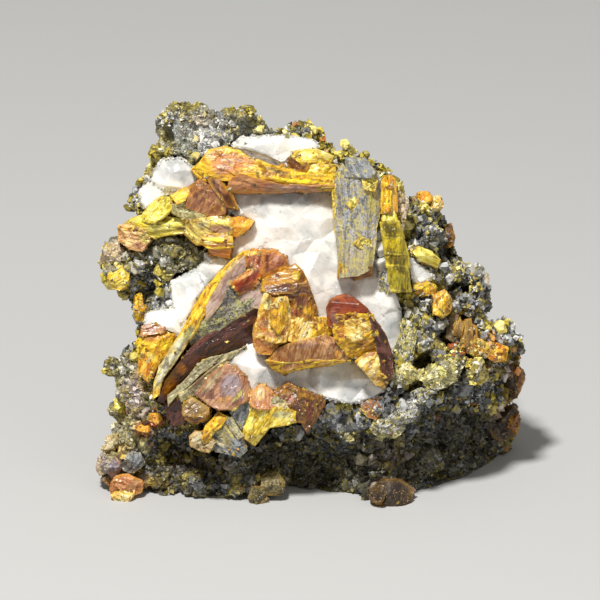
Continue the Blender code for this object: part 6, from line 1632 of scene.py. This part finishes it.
def joined(name, shapes, picks, places, turns, sizes, colours=None):
    """One mesh of many copies of small shapes, each with its place, turn, size and colour."""
    all_corners, all_faces, all_colours, count = [], [], [], 0
    for k, (corners, faces) in enumerate(shapes):
        mine = np.nonzero(picks == k)[0]
        if not len(mine):
            continue
        moved = np.einsum("nij,nvj->nvi", turns[mine], corners[None] * sizes[mine][:, None, :])
        moved = moved + places[mine][:, None, :]
        moved[:, :, 2] = np.maximum(moved[:, :, 2], 0)
        shift = count + len(corners) * np.arange(len(mine))
        all_faces.append((faces[None] + shift[:, None, None]).reshape(-1, 3))
        all_corners.append(moved.reshape(-1, 3))
        if colours is not None:
            all_colours.append(np.repeat(colours[mine], len(corners), axis=0))
        count += len(mine) * len(corners)
    mesh = bpy.data.meshes.new(name)
    mesh.from_pydata(np.concatenate(all_corners), [], np.concatenate(all_faces))
    if colours is not None:
        store_colour(mesh, "tint", np.concatenate(all_colours))
    made = bpy.data.objects.new(name, mesh)
    scene.collection.objects.link(made)
    return made


def surface_tree(pieces):
    """A search tree of the surface of some pieces."""
    corners, faces = [], []
    for piece in pieces:
        shift = sum(len(rows) for rows in corners)
        corners.append(coordinates(piece.data))
        faces += [[index + shift for index in polygon.vertices] for polygon in piece.data.polygons]
    return BVHTree.FromPolygons([Vector(row) for row in np.concatenate(corners)], faces)


def sprinkled(mesh, count, dice, weigh):
    """Points spread over a mesh by area and weight, with their normals."""
    mesh.calc_loop_triangles()
    spots = coordinates(mesh)
    corners = spots[np.array([t.vertices for t in mesh.loop_triangles])]
    crossed = np.cross(corners[:, 1] - corners[:, 0], corners[:, 2] - corners[:, 0])
    area = np.linalg.norm(crossed, axis=1)
    normals = crossed / np.maximum(area, 1e-15)[:, None]
    chance = area * weigh(corners.mean(axis=1), normals)
    chosen = dice.choice(len(corners), count, p=chance / chance.sum())
    a, b = dice.random((2, count))
    over = a + b > 1
    a[over], b[over] = 1 - a[over], 1 - b[over]
    first, second, third = corners[chosen].transpose(1, 0, 2)
    return first + a[:, None] * (second - first) + b[:, None] * (third - first), normals[chosen]


crystal_tree = surface_tree(crystals)
OPEN_SKY = 0.04  # how far a ray is followed to tell whether anything lies in front, in metres


def uncovered(points, normals, sizes):
    """Which points lie clear of the crystals and aren't beneath one."""
    free = np.ones(len(points), bool)
    for i, (point, normal, size) in enumerate(zip(points, normals, sizes)):
        start = Vector(point + normal * 0.05 * MM)
        if crystal_tree.ray_cast(start, Vector(OUTWARDS), OPEN_SKY)[0] is not None:
            free[i] = False
        elif crystal_tree.find_nearest(start, size)[0] is not None:
            free[i] = False
    return free


def block_weight(middles, normals):
    return np.where(to_face(middles)[:, 2] > -1, 1.0, 0.02) * (normals @ OUTWARDS > 0.2)


def slight_turn(a, b, c):
    return np.array(Matrix.Rotation(a, 3, "X") @ Matrix.Rotation(b, 3, "Y") @ Matrix.Rotation(c, 3, "Z"))


dice = np.random.default_rng(4)
block_shapes = [block_shape(dice) for _ in range(6)]
block_places, block_sizes = [], []
for piece, count in zip(calcites, (4, 1, 0, 1)):
    places, normals = sprinkled(piece.data, count, dice, block_weight)
    sizes = (0.7 + 1.2 * dice.random(count) ** 2) * MM
    free = uncovered(places, normals, sizes * 0.42)
    block_places.append((places - normals * (sizes[:, None] * 0.5 - 0.1 * MM))[free])
    block_sizes.append(sizes[free])
FILLING_BLOCKS = [
    # across, up, out, size: where calcite closes the corners between crystals
    (-12.9, 47.0, 4.2, 2.2),
    (-11.8, 46.3, 4.6, 1.8),
    (-13.6, 46.2, 3.4, 2.0),
    (-15.4, 38.6, 2.6, 2.4),
    (-13.4, 38.9, 3.0, 2.2),
    (10.7, 48.6, 5.4, 1.4),
    (11.2, 43.0, 4.8, 1.6),
    (11.4, 40.6, 5.0, 1.8),
    (11.7, 38.2, 5.0, 1.8),
]
block_places.append(np.array([on_face(*row[:3]) for row in FILLING_BLOCKS]))
block_sizes.append(np.array([row[3] for row in FILLING_BLOCKS]) * MM)
places, sizes = np.concatenate(block_places), np.concatenate(block_sizes)
turns = np.array([slight_turn(*row) for row in dice.uniform(-0.12, 0.12, (len(places), 3))])
picks = dice.integers(0, len(block_shapes), len(places))
blocks = joined("calcite_blocks", block_shapes, picks, places, turns, np.repeat(sizes[:, None], 3, 1))
give_calcite(blocks, 0.7 * clearness_and_shade(coordinates(blocks.data)))
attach(blocks, "root")
calcites.append(blocks)

# ---- Ore grains ----
# The loose-looking grains of the ore: grey sulphide crystals, grains of yellow orpiment and calcite, and a
# little orange realgar, each set in the ground mass by about half its height.
def grain_shape(dice):
    """A blunt broken grain about 1 mm across, of a dozen flat faces."""
    bm = bmesh.new()
    bmesh.ops.create_cube(bm, size=0.9)
    for vert in bm.verts:
        vert.co *= dice.uniform(0.62, 1.12)
        vert.co += Vector(dice.uniform(-0.13, 0.13, 3))
    bmesh.ops.triangulate(bm, faces=bm.faces[:])
    return taken(bm)


def lump_shape(dice):
    """A larger broken lump with more faces."""
    bm = bmesh.new()
    bmesh.ops.create_icosphere(bm, subdivisions=1, radius=0.56)
    for _ in range(5):
        way = Vector(dice.normal(size=3)).normalized()
        cut_off(bm, way * dice.uniform(0.22, 0.38), way)
    bmesh.ops.triangulate(bm, faces=bm.faces[:])
    return taken(bm)


def random_turns(dice, count):
    rows = dice.normal(size=(count, 4))
    w, x, y, z = (rows / np.linalg.norm(rows, axis=1)[:, None]).T
    return np.stack([
        np.stack([1 - 2 * (y * y + z * z), 2 * (x * y - z * w), 2 * (x * z + y * w)], 1),
        np.stack([2 * (x * y + z * w), 1 - 2 * (x * x + z * z), 2 * (y * z - x * w)], 1),
        np.stack([2 * (x * z - y * w), 2 * (y * z + x * w), 1 - 2 * (x * x + y * y)], 1)], 1)


def shade_of(stops, values):
    """Colours along a list of (place, colour) stops."""
    at = [place for place, _ in stops]
    return np.column_stack([np.interp(values, at, [colour[k] for _, colour in stops]) for k in range(3)])


def grain_material(name, metallic, rough, rough_spread):
    made, tree, shader = new_material(name)
    place = node(tree, "ShaderNodeTexCoord").outputs["Object"]
    tint = node(tree, "ShaderNodeAttribute", attribute_name="tint")
    grit = used(tree, fine_grit, {"Vector": place, "Scale": 3600.0, "Roughness": rough, "Spread": rough_spread})
    broad = node(tree, "ShaderNodeTexNoise", {"Vector": place, "Scale": 1400.0, "Detail": 2.0})
    dark = blend_colour(tree, 1.0, tint.outputs["Color"], (0.5, 0.48, 0.45), "MULTIPLY")
    colour = blend_colour(tree, ramp_value(tree, broad.outputs["Fac"], 0.36, 0.56), dark, tint.outputs["Color"])
    shader.inputs["Metallic"].default_value = metallic
    shader.inputs["IOR"].default_value = 1.7
    finished(tree, shader, colour, grit["Roughness"], grit["Height"], 0.6, 0.0002)
    return made


GRAIN_COUNT, LUMP_COUNT = 38000, 1500
GRAIN_SHAPES, LUMP_SHAPES = 10, 8
SMALLEST_LUMP, LARGEST_LUMP = 1.1, 2.6  # in millimetres
GRAIN_SUNK, LUMP_SUNK, CRUMB_SUNK = 0.24, 0.34, 0.12  # how deep each is set in, as a share of its size
GREY_STOPS = [
    (0, (0.022, 0.022, 0.022)), (0.3, (0.1, 0.1, 0.095)), (0.62, (0.23, 0.24, 0.25)), (0.88, (0.44, 0.47, 0.51)),
    (1, (0.78, 0.81, 0.84))]
YELLOW_STOPS = [
    (0, (0.18, 0.14, 0.01)), (0.35, (0.42, 0.34, 0.03)), (0.7, (0.72, 0.58, 0.06)), (1, (0.9, 0.8, 0.26))]
WHITE_STOPS = [(0, (0.46, 0.48, 0.5)), (0.5, (0.74, 0.75, 0.75)), (1, (0.9, 0.9, 0.88))]
ORANGE_STOPS = [(0, (0.34, 0.06, 0.006)), (0.5, (0.66, 0.20, 0.03)), (1, (0.82, 0.46, 0.10))]
GRAIN_KINDS = [
    # piece, slot, metallic, roughness, its spread, colour stops
    ("grey_ore_grains", "ore_rock", 0.12, 0.26, 0.4, GREY_STOPS),
    ("yellow_orpiment_grains", "orpiment_yellow", 0.0, 0.2, 0.4, YELLOW_STOPS),
    ("calcite_grains", "calcite_white", 0.0, 0.25, 0.4, WHITE_STOPS),
    ("realgar_grains", "orpiment_orange", 0.0, 0.2, 0.4, ORANGE_STOPS),
]
# The pieces that carry a crust of finer grains, and how many.
CRUSTED = [("ledge_plates", 1700), ("amber_lumps", 700), ("left_lobe_lumps", 700)]


def front_weight(middles, normals):
    facing = normals @ OUTWARDS
    weight = np.where(facing > -0.2, 1.0, 0.4)
    return weight * (middles[:, 2] > 0.4 * MM) * (normals[:, 2] > -0.9)


dice = np.random.default_rng(8)
shapes = [grain_shape(dice) for _ in range(GRAIN_SHAPES)] + [lump_shape(dice) for _ in range(LUMP_SHAPES)]
places, normals = sprinkled(rock.data, GRAIN_COUNT + LUMP_COUNT, dice, front_weight)
is_lump = np.arange(len(places)) >= GRAIN_COUNT
for name, count in CRUSTED:
    more_places, more_normals = sprinkled(
        bpy.data.objects[name].data, count, dice, lambda middles, normals: (normals @ OUTWARDS > 0.1) + 0.05)
    places, normals = np.vstack((places, more_places)), np.vstack((normals, more_normals))
    is_lump = np.append(is_lump, np.zeros(count, bool))
face_places = to_face(places)
is_crust = np.arange(len(places)) >= GRAIN_COUNT + LUMP_COUNT
lump_picks = dice.integers(GRAIN_SHAPES, GRAIN_SHAPES + LUMP_SHAPES, len(places))
picks = np.where(is_lump, lump_picks, dice.integers(0, GRAIN_SHAPES, len(places)))
lump_sizes = dice.uniform(SMALLEST_LUMP, LARGEST_LUMP, len(places))
sizes = np.where(is_lump, lump_sizes, 0.34 + 0.75 * dice.random(len(places)) ** 2.4)
sizes = np.where(is_crust, 0.18 + 0.3 * dice.random(len(places)) ** 2, sizes)
top_left = away_from(face_places, -17, 59, 9, 6) < 1
sizes = np.where(top_left, sizes * 0.72, sizes)
right = (face_places[:, 0] > 14) & (face_places[:, 1] > 12)
sizes = np.where(right & ~is_lump, sizes * 1.12, sizes) * MM
free = uncovered(places, normals, sizes * 0.22)
free &= hollow_depth(face_places) < 0.9
in_lobe = (face_places[:, 0] < -24) & (face_places[:, 1] < 26)
free &= ~(is_lump & in_lobe & (dice.random(len(places)) < 0.8))
sizes = np.where(in_lobe, sizes * 0.78, sizes)
stretch = dice.uniform(0.65, 1.35, (len(places), 3))
mossy_place = away_from(face_places, -21.5, 39, 6.5, 4) < 1
stretch[mossy_place & ~is_lump] *= (0.35, 0.35, 2.4)
sunk = places - normals * (sizes * np.where(is_lump, LUMP_SUNK, GRAIN_SUNK))[:, None]
free &= sunk[:, 2] > 0.4 * sizes
spare = 0.5 * MM - 0.4 * sizes[:, None]
free &= np.all((sunk > np.array(cad_low) - spare) & (sunk < np.array(cad_high) + 2 * spare), axis=1)
shares = ore_shares(places)
chance = dice.random(len(places))
kind = np.where(chance < shares[:, 0], 1, np.where(chance > 1 - shares[:, 1], 2, 0))
kind = np.where(dice.random(len(places)) < shares[:, 2], 3, kind)
tints_and_shade, held = ore_tints_and_shade(places)
lively = dice.random(len(places))
turns = random_turns(dice, len(places))
for number, (name, slot, metallic, rough, spread, stops) in enumerate(GRAIN_KINDS):
    mine = free & (kind == number)
    colours = shade_of(stops, lively[mine])
    # painted light and shade: grains are drawn darker towards the foot of the front and further back, where the ledge
    # shades them
    painted_sunlight = np.clip((face_places[mine, 1] - 8) / 8, 0, 1) * np.clip((face_places[mine, 2] + 18) / 10, 0, 1)
    colours *= (0.6 + 0.6 * painted_sunlight)[:, None]
    share = np.where(held[mine] > 0.88, 1.0, held[mine] * (1.0, 0.55, 0.7, 0.78)[number])[:, None]
    tinted = tints_and_shade[mine] * (0.36 + 1.36 * lively[mine])[:, None]
    colours = np.clip(colours * (1 - share) + tinted * share, 0, 0.95)
    piece = joined(name, shapes, picks[mine], sunk[mine], turns[mine], sizes[mine][:, None] * stretch[mine], colours)
    piece.data.materials.append(grain_material(name, metallic, rough, spread))
    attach(piece, "root")

# ---- Crystal crumbs ----
# Crumbs of orpiment broken from the blades and grown along their seams, yellow, cream, orange and brown.
CRUMB_COLOURS = [
    # colour, share
    ((0.74, 0.52, 0.05), 0.24),
    ((0.60, 0.29, 0.03), 0.22),
    ((0.76, 0.68, 0.40), 0.12),
    ((0.27, 0.12, 0.045), 0.20),
    ((0.33, 0.28, 0.08), 0.22),
]
solid_tree = surface_tree(crystals + calcites + [rock])
crumb_places, crumb_normals = [], []
CLEAN_BLADES = ("grey_prism_faces", "green_gold_faces")


def strewn(name, places, normals, sizes, layout, colours, roughness):
    """One piece of many crumbs, each set in by a little of its size."""
    picks, turns, stretch = layout
    sunk = places - normals * (sizes * CRUMB_SUNK)[:, None]
    made = joined(name, shapes, picks, sunk, turns, sizes[:, None] * stretch, colours)
    made.data.materials.append(grain_material(name, 0.0, roughness, 0.35))
    return made


def crumb_layout(count):
    """The shape, turn and stretch of each crumb."""
    return dice.integers(0, GRAIN_SHAPES, count), random_turns(dice, count), dice.uniform(0.65, 1.35, (count, 3))


SEAM_REACH, SEAM_DEPTH = 1.1 * MM, 1.0 * MM  # how near the next piece lies in a seam, outwards and inwards


def in_a_seam(place, normal):
    """Whether a crumb here would show from the front and lie in a corner between two pieces."""
    start, way = Vector(place + normal * 0.3 * MM), Vector(OUTWARDS)
    if solid_tree.ray_cast(start, way, OPEN_SKY)[0] is not None:
        return False
    if normal @ OUTWARDS > 0.6:
        return True
    return (solid_tree.ray_cast(start, Vector(normal), SEAM_REACH)[0] is not None
            or solid_tree.ray_cast(start, -way, SEAM_DEPTH)[0] is not None)


for piece in crystals:
    if piece.name in CLEAN_BLADES:
        continue
    count = 1600 if piece.name == "right_orange_crust" else 1000
    places, normals = sprinkled(piece.data, count, dice, lambda middles, normals: np.where(
        np.abs(normals @ OUTWARDS) < 0.6, 1.0,
        np.where([noise.noise(Vector(m) / MM * 0.5) > 0.34 for m in middles], 0.05, 0.0)))
    for place, normal in zip(places, normals):
        if in_a_seam(place, normal):
            crumb_places.append(place)
            crumb_normals.append(normal)
places, normals = np.array(crumb_places), np.array(crumb_normals)
sizes = (0.2 + 0.42 * dice.random(len(places)) ** 2) * MM
chosen = dice.choice(len(CRUMB_COLOURS), len(places), p=[share for _, share in CRUMB_COLOURS])
colours = np.array([colour for colour, _ in CRUMB_COLOURS])[chosen] * dice.uniform(0.6, 1.15, (len(places), 1))
layout = crumb_layout(len(places))
crumbs = strewn("crystal_crumbs", places, normals, sizes, layout, np.clip(colours, 0, 0.95), 0.2)
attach(crumbs, "root")

# ---- Calcite crumbs ----
# Crumbs along the broken borders of the calcite, with a little ore dust among them.
crumb_places, crumb_normals = [], []
for piece, count in zip(calcites, (4200, 1300, 1500, 800)):
    places, normals = sprinkled(piece.data, count, dice, lambda middles, normals: np.where(
        np.abs(normals @ OUTWARDS) < 0.6, 1.0, 0.001))
    for place, normal in zip(places, normals):
        start = Vector(place + normal * 0.35 * MM)
        if solid_tree.ray_cast(start, Vector(OUTWARDS), OPEN_SKY)[0] is None:
            crumb_places.append(place)
            crumb_normals.append(normal)
places, normals = np.array(crumb_places), np.array(crumb_normals)
sizes = (0.25 + 0.5 * dice.random(len(places)) ** 2) * MM
colours = np.where(dice.random((len(places), 1)) < 0.8, np.array((0.80, 0.80, 0.78)), np.array((0.42, 0.38, 0.16)))
layout = crumb_layout(len(places))
colours = np.clip(colours * dice.uniform(0.6, 1.1, (len(places), 1)), 0, 0.9)
crumbs = strewn("calcite_crumbs", places, normals, sizes, layout, colours, 0.25)
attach(crumbs, "root")
